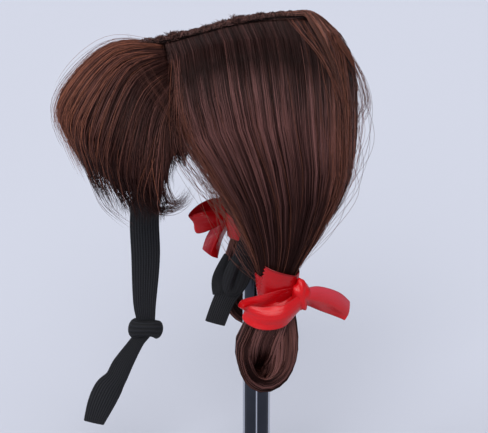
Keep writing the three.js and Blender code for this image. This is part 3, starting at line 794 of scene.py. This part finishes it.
# Painted light and shade along the fringe from root to tip: a painted highlight over its crest and
# painted shade towards its tips.
FRINGE_PAINTED_LIGHT = ((0, 0.1, 0.2, 0.42, 0.55, 0.7, 0.85, 1.0),
                (0.12, 0.2, 0.3, 0.47, 0.33, 0.1, 0.04, 0.03))
FRINGE_DEPTH = (2.2, 3.6)  # half its thickness at the roots and further down
FRINGE_SLIT = (0.3, 0.86)  # a gap between two locks: how far to the left and how far down
FRINGE_ROUND = 2.5  # how far the ends of the fringe bow out


def fringe_points(u, t):
    """Points on the middle of the fringe, at u from temple to temple and t from root to tip."""
    row = table_at(FRINGE_SECTIONS, np.abs(u))
    row = row * np.where(np.arange(row.shape[-1]) % 3 == 0, np.sign(u)[..., None], 1)
    root, crest, brow, tip = (at(*np.moveaxis(row[..., k:k + 3], -1, 0)) for k in (0, 3, 6, 9))
    fall = (brow + tip) / 2 + np.array([0, -FRINGE_ROUND, 0])
    knots = np.stack([root, crest, brow, fall, tip], -2)
    flat = knots.reshape(-1, 5, 3)
    return curves_at(flat, np.broadcast_to(t, u.shape).reshape(-1, 1)).reshape(*u.shape, 3)


def fringe_frame(u, t):
    """Points of the fringe with the direction across it and the one out of it."""
    step = 0.02
    left, right = (fringe_points(np.clip(u + move, -1, 1), t) for move in (step, -step))
    across = unit(left - right)
    along = direction(lambda at_t: fringe_points(u, at_t), t, step)
    return fringe_points(u, t), across, unit(np.cross(along, across))


def fringe_strands(count, rings, low, high, first=0.0, last=LONG_SHARE):
    """Strands of the fringe between two depths, -1 inside to 1 outside, in clumps that end in points."""
    u = blend(first, last, lanes(count)) * either_side(count)
    clump = lot((u + 1) / 2, FRINGE_CLUMPS)

    def of_clump(least, most):
        return shared(least, most, clump, FRINGE_CLUMPS)

    home = 2 * (clump + 0.5 + of_clump(-0.35, 0.35)) / FRINGE_CLUMPS - 1
    ends = of_clump(0.94, 1.0) * spread(0.95, 1.0, count)
    t = crowd(rings, 0.25) * ends
    line = u + (home - u) * spread(0.1, 0.8, count) * smooth((t - 0.45) / 0.55)
    line = line + 0.03 * waves(spread(0.5, 1.4, count) * t, count) * t
    slit = 0.03 * np.tanh((line - FRINGE_SLIT[0]) / 0.015) * np.exp(-((t - FRINGE_SLIT[1]) / 0.09) ** 2)
    line = np.clip(line + slit, -1, 1)
    middle, across, out = fringe_frame(line, t)
    swell = np.minimum(1, 3 * t)
    taper = 1 - 0.6 * smooth((t - 0.6) / 0.4)
    depth = blend(*FRINGE_DEPTH, swell) * taper
    lift = spread(low, high, count) * depth + of_clump(-1.3, 1.1) * smooth(t / 0.5)
    curl = of_clump(0, 7) * smooth((t - 0.68) / 0.32) ** 1.5
    points = middle + out * (lift - curl)[..., None]
    points = points + across * (spread(-3, 3, count) * swell * taper)[..., None]
    points[..., 2] -= of_clump(-2, 7) * smooth((t - 0.5) / 0.5)
    front = np.exp(-(u / 0.26) ** 2)
    light = lightness((u + 1) / 2, FRINGE_STREAKS) + 0.12 * front
    painted_light = np.interp(t + scatter(0.03, count), *FRINGE_PAINTED_LIGHT)
    # strands that lie further in are painted darker, as painted shade
    tint = light * painted_light * (0.75 + 0.08 * lift)
    warm = spread(0, 1, count)
    # the warmer tips are painted back light; the rest of the warmth is the hair's own tone
    warmth_and_rim_light = 0.06 + 0.26 * warm + (0.12 + 0.42 * warm) * front + 0.5 * smooth((t - 0.7) / 0.3) * warm
    radius = STRAND_RADIUS * spread(0.75, 1.2, count)
    return strands(points, radius, tint, warmth_and_rim_light, taper_from=0.8, tip=0.4)


def fringe_strays(count, widest, starts, ends, stand_off, rings=16):
    """Thin strands that stand off the fringe in wide arcs, up to widest to either side."""
    u = spread(-widest, widest, count)
    start, end = spread(*starts, count), spread(*ends, count)
    t = blend(start, end, places(rings))
    middle, across, out = fringe_frame(np.broadcast_to(u, t.shape), t)
    bow = np.sin(np.pi * 0.62 * places(rings)) ** 1.4
    off = 2.6 + spread(0, 1, count) ** 2 * stand_off * bow
    points = middle + out * off[..., None] + across * (scatter(5, count) * bow)[..., None]
    # loose strands are warmer in part as painted rim light
    return strands(points, STRAY_RADIUS * spread(0.7, 1.4, count), spread(0.3, 1.0, count),
                   spread(0.4, 1.0, count))


# Locks at each temple and brow that turn back at their ends, as x, y, drop.
TEMPLE_CURL = [(36, -66, 46), (46, -73, 70), (51, -75, 92), (51, -69, 108), (50, -61, 107),
               (49, -56, 99)]
BROW_CURL = [(30, -72, 34), (44, -95, 60), (47, -92, 86), (47, -86, 104), (47.5, -78, 113),
             (48, -68, 113.5), (49, -60, 108), (50, -55, 99)]
BROW_WISP = [(24, -120, 80), (24, -115, 98), (28, -110, 113), (34, -102, 121), (41, -92, 127)]


def fringe_backing(first, last, reach):
    """A thin layer in the hair's darkest brown inside part of the fringe, with a ragged lower edge:
    painted shade for the inside of the fringe.
    """
    piece, c, t = grid("backing", 20, 12)
    u = blend(first, last, (c + 1) / 2)
    t = t * (reach + 0.03 * np.sin(37 * u) + 0.02 * np.sin(83 * u + 1))
    middle, _, out = fringe_frame(u, t)
    return formed(piece, middle - out, BACKING_THICK)


def fringe_hair():
    groups = [
        fringe_strands(900, 20, 0.1, 1.0),
        fringe_strands(560, 11, -1.0, 0.1),
        fringe_strands(260, 9, -0.6, 0.9, TEMPLE_SHARE, 1.0),
        fringe_strays(80, LONG_SHARE, (0.0, 0.45), (0.75, 1.0), 9),
        fringe_strays(110, 0.3, (0.1, 0.6), (0.6, 0.95), 4),
        fringe_strays(60, 0.3, (0.02, 0.2), (0.45, 0.85), 8),
    ]
    curls = [(TEMPLE_CURL, 50, 1.7, 0.13), (BROW_CURL, 50, 1.4, 0.19), (BROW_WISP, 12, 1.7, 0.13)]
    for sign in (1, -1):
        for knots, count, wide, radius in curls:
            groups.append(lock(mirrored(knots, sign), count, 16, wide, radius, 0.25, 0.25, loosen=1.3))
    backings = [
        fringe_backing(-LONG_SHARE, LONG_SHARE, 0.8),
        fringe_backing(TEMPLE_SHARE, 1.0, 0.78),
        fringe_backing(-1.0, -TEMPLE_SHARE, 0.78),
    ]
    return joined(strand_piece("fringe_hair", groups), *backings)


# Ridge

TUFT_COUNT = 12
TUFTS_FROM = 0.06  # how far back along the ridge its tufts begin
COMBED_FROM = 0.6  # how far back along the ridge its hair is combed flat
COMBED_TO = (0.92, 0.79)  # where the combed hair leaves the ridge, in the middle and at its side
COMBED_STREAKS = 90

# Where the combed hair goes behind the ridge, in the middle and at its side, as x, y, drop, and how far
# its strands lie apart in x, y and z.
COMBED_MIDDLE = [(0, 58, 14.5), (0.5, 64, 28), (1.5, 67, 45), (3, 68, 62)]
COMBED_SIDE = [(9, 34, 2), (24, 38.5, 13), (40.5, 45, 37), (51, 48, 68)]
COMBED_APART = [(-0.9, 0.9), (-1.0, 1.4), (-0.7, 0.7)]


def ridge_slim(t):
    """How thick the ridge is at t, slim at both ends."""
    return np.minimum(1, 0.2 + 4 * np.minimum(t, 1 - t))


def ridge_bound(count, rings):
    """Short hairs bound over the ridge in slanted turns."""
    t = spread(0, 1, count)
    turn = np.radians(np.linspace(-110, 110, rings))[None] * either_side(count)
    slant = spread(0.02, 0.05, count) * np.linspace(-0.5, 0.5, rings)[None]
    bead = 1 + 0.14 * np.sin(4 * np.pi * TUFT_COUNT * t) + spread(-0.15, 0.15, count)
    radius = 0.8 * RIDGE_RADIUS * bead * ridge_slim(t)
    around = np.stack([radius * np.sin(turn), np.zeros_like(turn), radius * np.cos(turn)], -1)
    return strands(ridge_at(np.clip(t + slant, 0, 1)) + around, 0.18 * spread(0.8, 1.2, count),
                   0.26 + scatter(0.16, count), spread(0.0, 0.3, count), across=(0, 1, 0))


def ridge_tufts(count, rings):
    """Tufts of short hairs that stand up out of the ridge."""
    tuft = rng.integers(0, TUFT_COUNT, (count, 1))
    height = shared(0.5, 1.3, tuft, TUFT_COUNT)
    off = np.clip(scatter(0.24, count), -0.5, 0.5)
    shift = shared(-0.3, 0.3, tuft, TUFT_COUNT)
    t = TUFTS_FROM + (COMBED_FROM - TUFTS_FROM) * (tuft + 0.5 + shift + off) / TUFT_COUNT
    along = places(rings)
    turn = scatter(0.85, count)
    length = spread(1.6, 5.0, count) * height * (1 - 2.6 * off ** 2) * smooth(0.15 + t / 0.22)
    lean = rng.normal(0.3, 0.6, (count, 1)) * length
    radius = 1.8 + length * along * (1 - 0.2 * along)
    stand = np.stack([radius * np.sin(turn), lean * along ** 1.5, radius * np.cos(turn)], -1)
    return strands(ridge_at(np.broadcast_to(t, (count, rings))) + stand, 0.13 * spread(0.8, 1.2, count),
                   0.26 + scatter(0.3, count), spread(0.0, 0.4, count), across=(1, 0.3, 0))


def ridge_combed(count, rings):
    """Hair combed flat along the rear of the ridge and down behind it."""
    aside = spread(-1, 1, count)
    root = spread(COMBED_FROM - 0.06, 0.77, count)
    leave = blend(*COMBED_TO, np.abs(aside))
    line = ridge_at(blend(root, leave, places(5)))
    turn = 1.1 * aside + scatter(0.2, count)
    proud = spread(1.0, 4.2, count) * np.linspace(0.3, 1, 5)[None]
    line = line + np.stack([np.sin(turn) * proud, 0 * proud, np.cos(turn) * proud], -1)
    middle, beside = (at(*np.asarray(k, float).T)[None] for k in (COMBED_MIDDLE, COMBED_SIDE))
    behind = blend(middle, beside, np.abs(aside)[..., None])
    behind[..., 0] *= np.sign(aside)
    behind = behind + np.stack([spread(low, high, count) for low, high in COMBED_APART], -1)
    points = curves_at(np.concatenate([line, behind], 1), places(rings) * spread(0.72, 1.0, count))
    radius = STRAND_RADIUS * spread(0.8, 1.2, count)
    tint = 0.1 + 0.85 * lightness((aside + 1) / 2, COMBED_STREAKS)
    return strands(points, radius, tint, spread(0.1, 0.9, count))


def ridge_seam(count, rings):
    """A thin band of strands laid along both feet of the ridge."""
    t = np.clip(0.17 + 0.6 * places(rings) + spread(-0.03, 0.03, count), 0, 1)
    side = np.where(np.arange(count) % 2 == 0, 1, -1)[:, None]
    wave = 0.25 * waves(9 * t, count)
    slim = np.minimum(1, 0.2 + 4 * t)
    points = ridge_at(t)
    points[..., 0] += side * slim * (2.7 + scatter(0.3, count) + wave)
    points[..., 2] -= slim * (2.2 + scatter(0.35, count) + wave)
    radius = STRAND_RADIUS * spread(0.8, 1.2, count)
    return strands(points, radius, spread(0.2, 0.7, count), spread(0, 0.3, count))


def ridge_core():
    """A rope inside the ridge in the weft's darkest brown, drawn down to the roots of the sheets:
    painted shade under the ridge.
    """
    piece, c, t = grid("core", 12, 40)
    turn = np.pi * c
    points = ridge_at(t)
    points[:, 0] += 0.6 * RIDGE_RADIUS * ridge_slim(t) * np.sin(turn)
    points[:, 2] += RIDGE_RADIUS * ridge_slim(t) * (0.95 * np.cos(turn) - 0.4)
    return formed(piece, points, BACKING_THICK, seam=True)


def ridge_hair():
    groups = [
        ridge_bound(1000, 8),
        ridge_tufts(2300, 5),
        ridge_combed(620, 14),
        ridge_seam(90, 18),
    ]
    return joined(strand_piece("ridge_hair", groups), ridge_core())


# Buns

BUN_HOLLOW = (-14.0, 58.0)  # y from the neck and fall of the hollow's middle
HOLLOW_HEART = 3.0  # how far round the hollow's middle its painted shade is darkest
HOLLOW_FADE = 16.0  # how far the painted shade fades out beyond that


def bun_place(side, x, y, fall):
    """A place on a bun, from the neck out, back and down."""
    back = side["bun_back"] * np.maximum(0, fall / BUN_FALL)
    y = NECK["y"] + y * side["bun_share"] + back
    return at(side["sign"] * (NECK["x"] + x), y, side["tie_drop"] + fall)


def bun_around(side, t, turn, reach):
    """Points round the loop of a bun, at a share of its half width and half depth. Its flanks are drawn
    up at its foot, so that it is round from the front."""
    def middle(at_t):
        row = table_at(BUN_SECTIONS, at_t)
        return bun_place(side, 0, row[..., 0], row[..., 1]) - np.array([0, 0, BUN_SINK])

    half_width, half_depth = np.moveaxis(table_at(BUN_SECTIONS, t)[..., 2:], -1, 0)
    out = np.cross(direction(middle, t), np.array([1.0, 0, 0]))
    points = middle(t) + out * (reach * half_width * np.sin(turn))[..., None]
    points[..., 0] += side["sign"] * reach * half_depth * np.cos(turn)
    fall = np.clip((CROWN - side["tie_drop"] - points[..., 2]) / BUN_FALL, 0, 1)
    points[..., 2] += BUN_ROUND * np.cos(turn) ** 2 * fall ** 2
    return points


def hollow_shade(side, points):
    """How much painted shade darkens hair near the hollow of a bun."""
    middle = bun_place(side, 0, *BUN_HOLLOW)
    far = np.linalg.norm((points - middle)[..., 1:], axis=-1)
    return 0.5 * (1 - smooth((far - HOLLOW_HEART) / HOLLOW_FADE))


def bun_loop(side, count, rings):
    """Strands round the loop of a bun."""
    t = (0.03 + 0.94 * crowd(rings, 0.2)).repeat(count, 0)
    turn = spread(0, 2 * np.pi, count) + spread(-0.4, 0.4, count) * t
    reach = np.sqrt(spread(0.6, 1.1, count)) * (1 + 0.04 * waves(2 * t, count))
    points = bun_around(side, t, turn, reach)
    light = lightness(np.mod(turn[:, :1] / (2 * np.pi), 1), BUN_STREAKS)
    # painted shade near the hollow, and from the foot of the loop up its rear
    tint = 1.7 * light * (1 - 1.3 * hollow_shade(side, points)) - 0.42 * smooth((t - 0.3) / 0.2)
    return strands(points, STRAND_RADIUS * spread(0.8, 1.2, count), tint, spread(0, 0.3, count), tip=0.7)


def bun_front(side, count, rings):
    """Strands over the front of a bun that dive into its hollow."""
    lane = spread(-1, 1, count)
    deep = spread(0, 1, count)
    dive = spread(-5, 3, count) + 7 * lane ** 2
    knots = [
        (9, -2 + 7 * lane, 8),
        (13, -6 + 11 * lane, 24),
        (12 - 2 * deep, -11 + 11 * lane, 36 + dive),
        (8 - 4 * deep, -12 + 9 * lane, 48 + dive),
        (0, -13 + 6 * lane, 57 + dive),
    ]
    knots = np.concatenate([bun_place(side, *knot) for knot in knots], 1)
    points = curves_at(knots, places(rings).repeat(count, 0))
    # painted shade near the hollow
    tint = 1.35 * lightness((lane + 1) / 2, BUN_STREAKS) - hollow_shade(side, points)
    return strands(points, STRAND_RADIUS * spread(0.8, 1.2, count), tint, spread(0, 0.3, count))


def bun_core(side):
    """A tube in the hair's darkest brown inside the loop of a bun: painted shade for the inside of the
    loop.
    """
    piece, c, t = grid("core", 14, 28)
    return formed(piece, bun_around(side, 0.02 + 0.96 * t, np.pi * c, 0.7), BACKING_THICK, seam=True)


def bun_backing(side):
    """A thin layer in the hair's darkest brown across the hollow of a bun: painted shade in the hollow.
    """
    piece, c, t = grid("backing", 8, 12)
    fall = 4 + 68 * t
    half = 3 + 12 * np.sin(np.pi * (0.06 + 0.88 * t))
    points = bun_place(side, -7 - 2 * (1 - c * c), -9 * smooth(t / 0.5) + c * half, fall)
    return formed(piece, points, BACKING_THICK)


def bun_hair(name, side):
    share = side["strands"]
    groups = [bun_loop(side, int(850 * share), 20), bun_front(side, int(360 * share), 12)]
    return joined(strand_piece("bun_hair_" + name, groups), bun_core(side), bun_backing(side))


# Sheets

def primitive(name, add, **settings):
    """A new primitive, selected alone and named."""
    bpy.ops.object.select_all(action="DESELECT")
    add(**settings)
    piece = bpy.context.object
    piece.name = piece.data.name = name
    return piece


def grid(name, columns, rows):
    """A flat grid primitive. Returns it with each corner's place across, -1 to 1, and along, 0 to 1."""
    piece = primitive(name, bpy.ops.mesh.primitive_grid_add, x_subdivisions=columns,
                      y_subdivisions=rows, size=1)
    flat = np.empty(3 * len(piece.data.vertices), np.float32)
    piece.data.vertices.foreach_get("co", flat)
    flat = flat.reshape(-1, 3)
    return piece, 2.0 * flat[:, 0], flat[:, 1] + 0.5


def move_corners(piece, points):
    piece.data.vertices.foreach_set("co", (points * MM).astype(np.float32).ravel())
    piece.data.update()


def merge_corners(piece, near, outwards):
    """Makes corners that lie nearer than this one, and turns the faces outwards where they need it."""
    alone(piece)
    bpy.ops.object.mode_set(mode="EDIT")
    bpy.ops.mesh.select_all(action="SELECT")
    bpy.ops.mesh.remove_doubles(threshold=near * MM)
    if outwards:
        bpy.ops.mesh.normals_make_consistent(inside=False)
    bpy.ops.object.mode_set(mode="OBJECT")


def finish_sheet(piece, thick):
    """Gives a sheet its thickness, if it isn't closed by itself, and smooths it."""
    alone(piece)
    steps = [("SOLIDIFY", {"thickness": thick * MM, "offset": 0.0})] if thick else []
    for kind, settings in steps + [("SUBSURF", {"levels": 1, "render_levels": 1})]:
        modifier = piece.modifiers.new(kind.lower(), kind)
        for key, value in settings.items():
            setattr(modifier, key, value)
        bpy.ops.object.modifier_apply(modifier=modifier.name)
    bpy.ops.object.shade_smooth()
    return piece


def formed(piece, points, thick, seam=False):
    """A flat grid moved to its points and finished, with its two ends joined where they meet."""
    move_corners(piece, points)
    if seam:
        merge_corners(piece, SEAM_MERGE, True)
    return finish_sheet(piece, thick)


def strip(name, rows, sign, upright, columns, per_row, thick, bow, folds, crease=0.0, cut=0.0):
    """A strip of ribbon or elastic along a table of places, with its width upright or level, a bowed
    face, a few soft folds, a crease along it and an end that is cut aslant and lies flat."""
    piece, c, t = grid(name, columns, per_row * (len(rows) - 1))
    t = t * (1 - cut * np.maximum(0, c + 0.3))

    def middle(at_t):
        x, y, drop = np.moveaxis(table_at(rows, at_t)[:, :3], -1, 0)
        return at(sign * x, y, drop)

    half_width, lean = np.moveaxis(table_at(rows, t)[:, 3:], -1, 0)
    sin, cos = np.sin(np.radians(lean)), np.cos(np.radians(lean))
    along = direction(middle, t)
    across = np.stack([0 * sin, sin, cos] if upright else [sign * sin, cos, 0 * sin], -1)
    across = unit(across - along * (across * along).sum(-1, keepdims=True))
    ends = np.sin(np.pi * np.clip(t, 0, 1))
    flat_end = 1 - (cut > 0) * t ** 3
    height = bow * (1 - c * c) * flat_end + folds * np.sin(3.1 * c + 9.0 * t) * ends
    height = height + crease * np.minimum(0, c + 0.15) * np.sqrt(np.clip(ends, 0, 1))
    points = middle(t) + across * (c * half_width)[:, None] + np.cross(along, across) * height[:, None]
    return formed(piece, points, thick)


# Ribbons

def round_neck(side, angle, share, proud, rise):
    """Points round the neck at a share of the ribbon's height, standing proud of it and raised."""
    radius = blend(RIBBON["wrap_foot"], RIBBON["wrap_top"], share) + proud
    x = side["sign"] * (NECK["x"] + radius * np.cos(angle))
    z = CROWN - side["tie_drop"] + RIBBON["wrap_height"] * (share - 0.5) + rise
    return np.stack([x, NECK["y"] + radius * np.sin(angle), z], -1)


def ribbon_wrap(name, side):
    """The turn of ribbon round the neck, with a ruffled upper edge."""
    piece, c, t = grid(name, 8, 60)
    angle = 2 * np.pi * t
    share = (c + 1) / 2
    ruffle = 0.5 * np.sin(7 * angle) + 0.35 * np.sin(13 * angle + 1)
    points = round_neck(side, angle, share, 0.6 * ruffle, share * ruffle)
    return formed(piece, points, RIBBON["thick"], seam=True)


def ribbon_end(name, side):
    """The ribbon's outer end, laid over the turn, with its edge cut in small teeth."""
    piece, c, t = grid(name, 66, 10)
    share = (c + 1) / 2
    teeth = 0.11 * np.abs(np.mod(RIBBON_TEETH * c, 2) - 1) * (1 - smooth(t / 0.2))
    foot, top, last = (math.radians(degrees) for degrees in RIBBON_END)
    angle = blend(blend(foot, top, share), last, t) + teeth
    points = round_neck(side, angle, share, 1.3 + 0.5 * np.sin(3 * t + c), share * (10 - 10 * t) - 1.0)
    return formed(piece, points, RIBBON["thick"])


def ribbon_knot(name, centre):
    """The knot of the ribbon: a creased lump with the ribbon drawn over it."""
    piece = primitive(name, bpy.ops.mesh.primitive_uv_sphere_add, segments=32, ring_count=20, radius=1)
    ball = np.array([v.co for v in piece.data.vertices], float)
    x, y, z = ball.T
    crease = 1 + 0.09 * np.sin(5 * np.arctan2(z, y) + 1.5 * x) + 0.05 * np.sin(9 * y + 4 * z)
    move_corners(piece, ball * np.array(RIBBON["knot"]) * crease[:, None] + centre)
    alone(piece)
    bpy.ops.object.shade_smooth()
    return piece


def shaded(piece, name, amount):
    """Gives a piece one amount of a painted shade or a painted sheen that its satin reads."""
    layer = piece.data.attributes.new(name, "FLOAT", "POINT")
    layer.data.foreach_set("value", np.full(len(piece.data.vertices), amount, np.float32))
    return piece


def ribbon(name, side):
    sign, thick = side["sign"], RIBBON["thick"]
    x, y, drop = RIBBON_KNOTS[name]
    loop = strip("satin_" + name, RIBBON_LOOPS[name], sign, True, 12, 10, thick, 2.0, 1.2)
    tail = strip("tail", RIBBON_TAILS[name], sign, True, 14, 10, thick, 3.2 * sign, 0.6, 5.0 * sign, 0.1)
    # painted shade on the turn round the neck and on its end, which lie under the hair
    wrap = shaded(ribbon_wrap("wrap", side), "deep", 0.35)
    knot = ribbon_knot("knot", at(sign * x, y, drop))
    end = shaded(ribbon_end("end", side), "deep", 0.5)
    # the loose end takes a painted sheen
    return joined(loop, shaded(tail, "painted_gloss", 0.9), wrap, end, knot)


# Straps and cap

def tilted(x, y, z, degrees):
    """Points turned about X, their upper end to the rear."""
    turn = math.radians(degrees)
    cos, sin = math.cos(turn), math.sin(turn)
    return np.stack([x, y * cos + z * sin, z * cos - y * sin], -1)


def strap_turn(name, centre, knot):
    """A knot: a fat turn of the elastic drawn round it, with a pinch on each side."""
    piece, c, t = grid(name, 16, 48)
    angle, round_it = 2 * np.pi * t, np.pi * c
    thick = 0.34 * knot["half_width"] * (1 + 0.1 * np.sin(2 * angle + 0.6) - 0.12 * np.cos(angle) ** 4)
    ring_y = knot["half_width"] - 0.34 * knot["half_width"]
    ring_x = STRAP["knot_half_depth"] - 0.2 * knot["half_width"]
    x = (ring_x + 0.6 * thick * np.cos(round_it)) * np.cos(angle)
    y = (ring_y + thick * np.cos(round_it)) * np.sin(angle)
    z = knot["half_height"] * np.sin(round_it) * (1 - 0.18 * np.cos(angle) ** 2)
    z = z + 0.8 * np.sin(2 * angle + 1)
    return formed(piece, tilted(x, y, z, knot["tilt"]) + centre, 0.0, seam=True)


def strap_bight(name, centre, knot, bulge):
    """One face of a flat bight of elastic in a knot: an oval cushion with a slit down its middle."""
    piece, c, t = grid(name, 18, 26)
    b = 2 * t - 1
    y, z = c * np.sqrt(1 - b * b / 2), b * np.sqrt(1 - c * c / 2)
    dome = np.sqrt(np.clip(1 - 0.97 * (y * y + z * z), 0, 1))
    slit = np.exp(-(y / 0.22) ** 2) * np.clip(1 - (z / 0.75) ** 2, 0, 1)
    x = bulge * (dome - 0.75 * slit)
    points = tilted(x, knot["half_width"] * y, knot["half_height"] * z, knot["tilt"])
    return formed(piece, points + centre, STRAP["thick"])


def strap(name, side):
    """A strap with its knot: a fat turn on the right, and on the left two bights and a loose flange."""
    rows, knot, sign = STRAP_ROWS[name], STRAP_KNOTS[name], side["sign"]
    x, y, drop = rows[knot["row"]][:3]
    tape = strip("elastic_" + name, rows, sign, False, 10, 8, STRAP["thick"], 0.5, 0.25)
    if name == "right":
        return joined(tape, strap_turn("turn", at(sign * x, y, drop), knot))
    half_depth = STRAP["knot_half_depth"]
    centre = at(sign * x, y - STRAP["bight_forward"], drop)
    lobes = [strap_bight("lobe", centre, knot, face * half_depth) for face in (1, -1)]
    loose = [(x + out, y + back, drop + down, *rest) for out, back, down, *rest in STRAP_FLANGE]
    flange = strip("flange", loose, sign, False, 8, 8, STRAP["thick"], 0.8, 0.3)
    return joined(tape, flange, *lobes)


def cap_net():
    """The cap's cloth: a copy of the CAD solid, merged and smoothed."""
    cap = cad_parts["cap"].copy()
    cap.data = cap.data.copy()
    cap.parent = None
    for key in list(cap.keys()):
        del cap[key]
    cap.name = "cap_net"
    bpy.context.scene.collection.objects.link(cap)
    merge_corners(cap, CAP_MERGE, False)
    return finish_sheet(cap, 0.0)


# Pieces

for side_name, side_of in SIDES.items():
    place(side_hair(side_name, side_of), "side_hair_" + side_name, HAIR)
    place(bun_hair(side_name, side_of), "bun_" + side_name, HAIR)
    satin = place(ribbon(side_name, side_of), "ribbon_" + side_name, SATIN)
    tape = place(strap(side_name, side_of), "chin_strap_" + side_name, ELASTIC)
place(fringe_hair(), "fringe", HAIR)
place(ridge_hair(), "parting_ridge", WEFT)
place(cap_net(), "cap", NET)


# Floor, light and camera

FLOOR_GREY = (190, 193, 204)
WORLD_WHITE = (230, 233, 244)
WORLD_STRENGTH = 0.4
CAMERA_AT = Vector((1.055149, -0.233535, 0.617368))
CAMERA_TO = Vector((-0.001882, -0.008856, 0.224045))
LENS_MM = 121.194
SENSOR_MM = 36

floor = primitive("floor", bpy.ops.mesh.primitive_plane_add, size=40)
floor_look = {"Roughness": 0.9, "Specular_IOR_Level": 0.0, "Base_Color": linear(*FLOOR_GREY)}
floor.data.materials.append(material("floor", **floor_look)[0])

camera = bpy.data.objects.new("camera", bpy.data.cameras.new("camera"))
bpy.context.scene.collection.objects.link(camera)
camera.data.lens = LENS_MM
camera.data.sensor_width = SENSOR_MM
camera.location = CAMERA_AT
camera.rotation_euler = (CAMERA_TO - CAMERA_AT).to_track_quat("-Z", "Y").to_euler()
bpy.context.scene.camera = camera

# Wide soft suns: azimuth as for the camera, elevation, how wide each is in degrees and its strength.
LIGHTS = {
    "key": (70, 34, 36, 1.72),
    "front": (4, 30, 40, 1.35),
    "overhead": (78, 62, 70, 1.6),
}
for name, (azimuth, elevation, width, strength) in LIGHTS.items():
    a, e = math.radians(azimuth), math.radians(elevation)
    light = bpy.data.objects.new(name, bpy.data.lights.new(name, "SUN"))
    light.data.energy, light.data.angle = strength, math.radians(width)
    towards = Vector((math.sin(a) * math.cos(e), -math.cos(a) * math.cos(e), math.sin(e)))
    light.rotation_euler = (-towards).to_track_quat("-Z", "Y").to_euler()
    bpy.context.scene.collection.objects.link(light)

world = bpy.data.worlds.new("studio")
world.use_nodes = True
background = world.node_tree.nodes["Background"].inputs
background["Color"].default_value = linear(*WORLD_WHITE)
background["Strength"].default_value = WORLD_STRENGTH
bpy.context.scene.view_settings.view_transform = "Standard"
bpy.context.scene.world = world
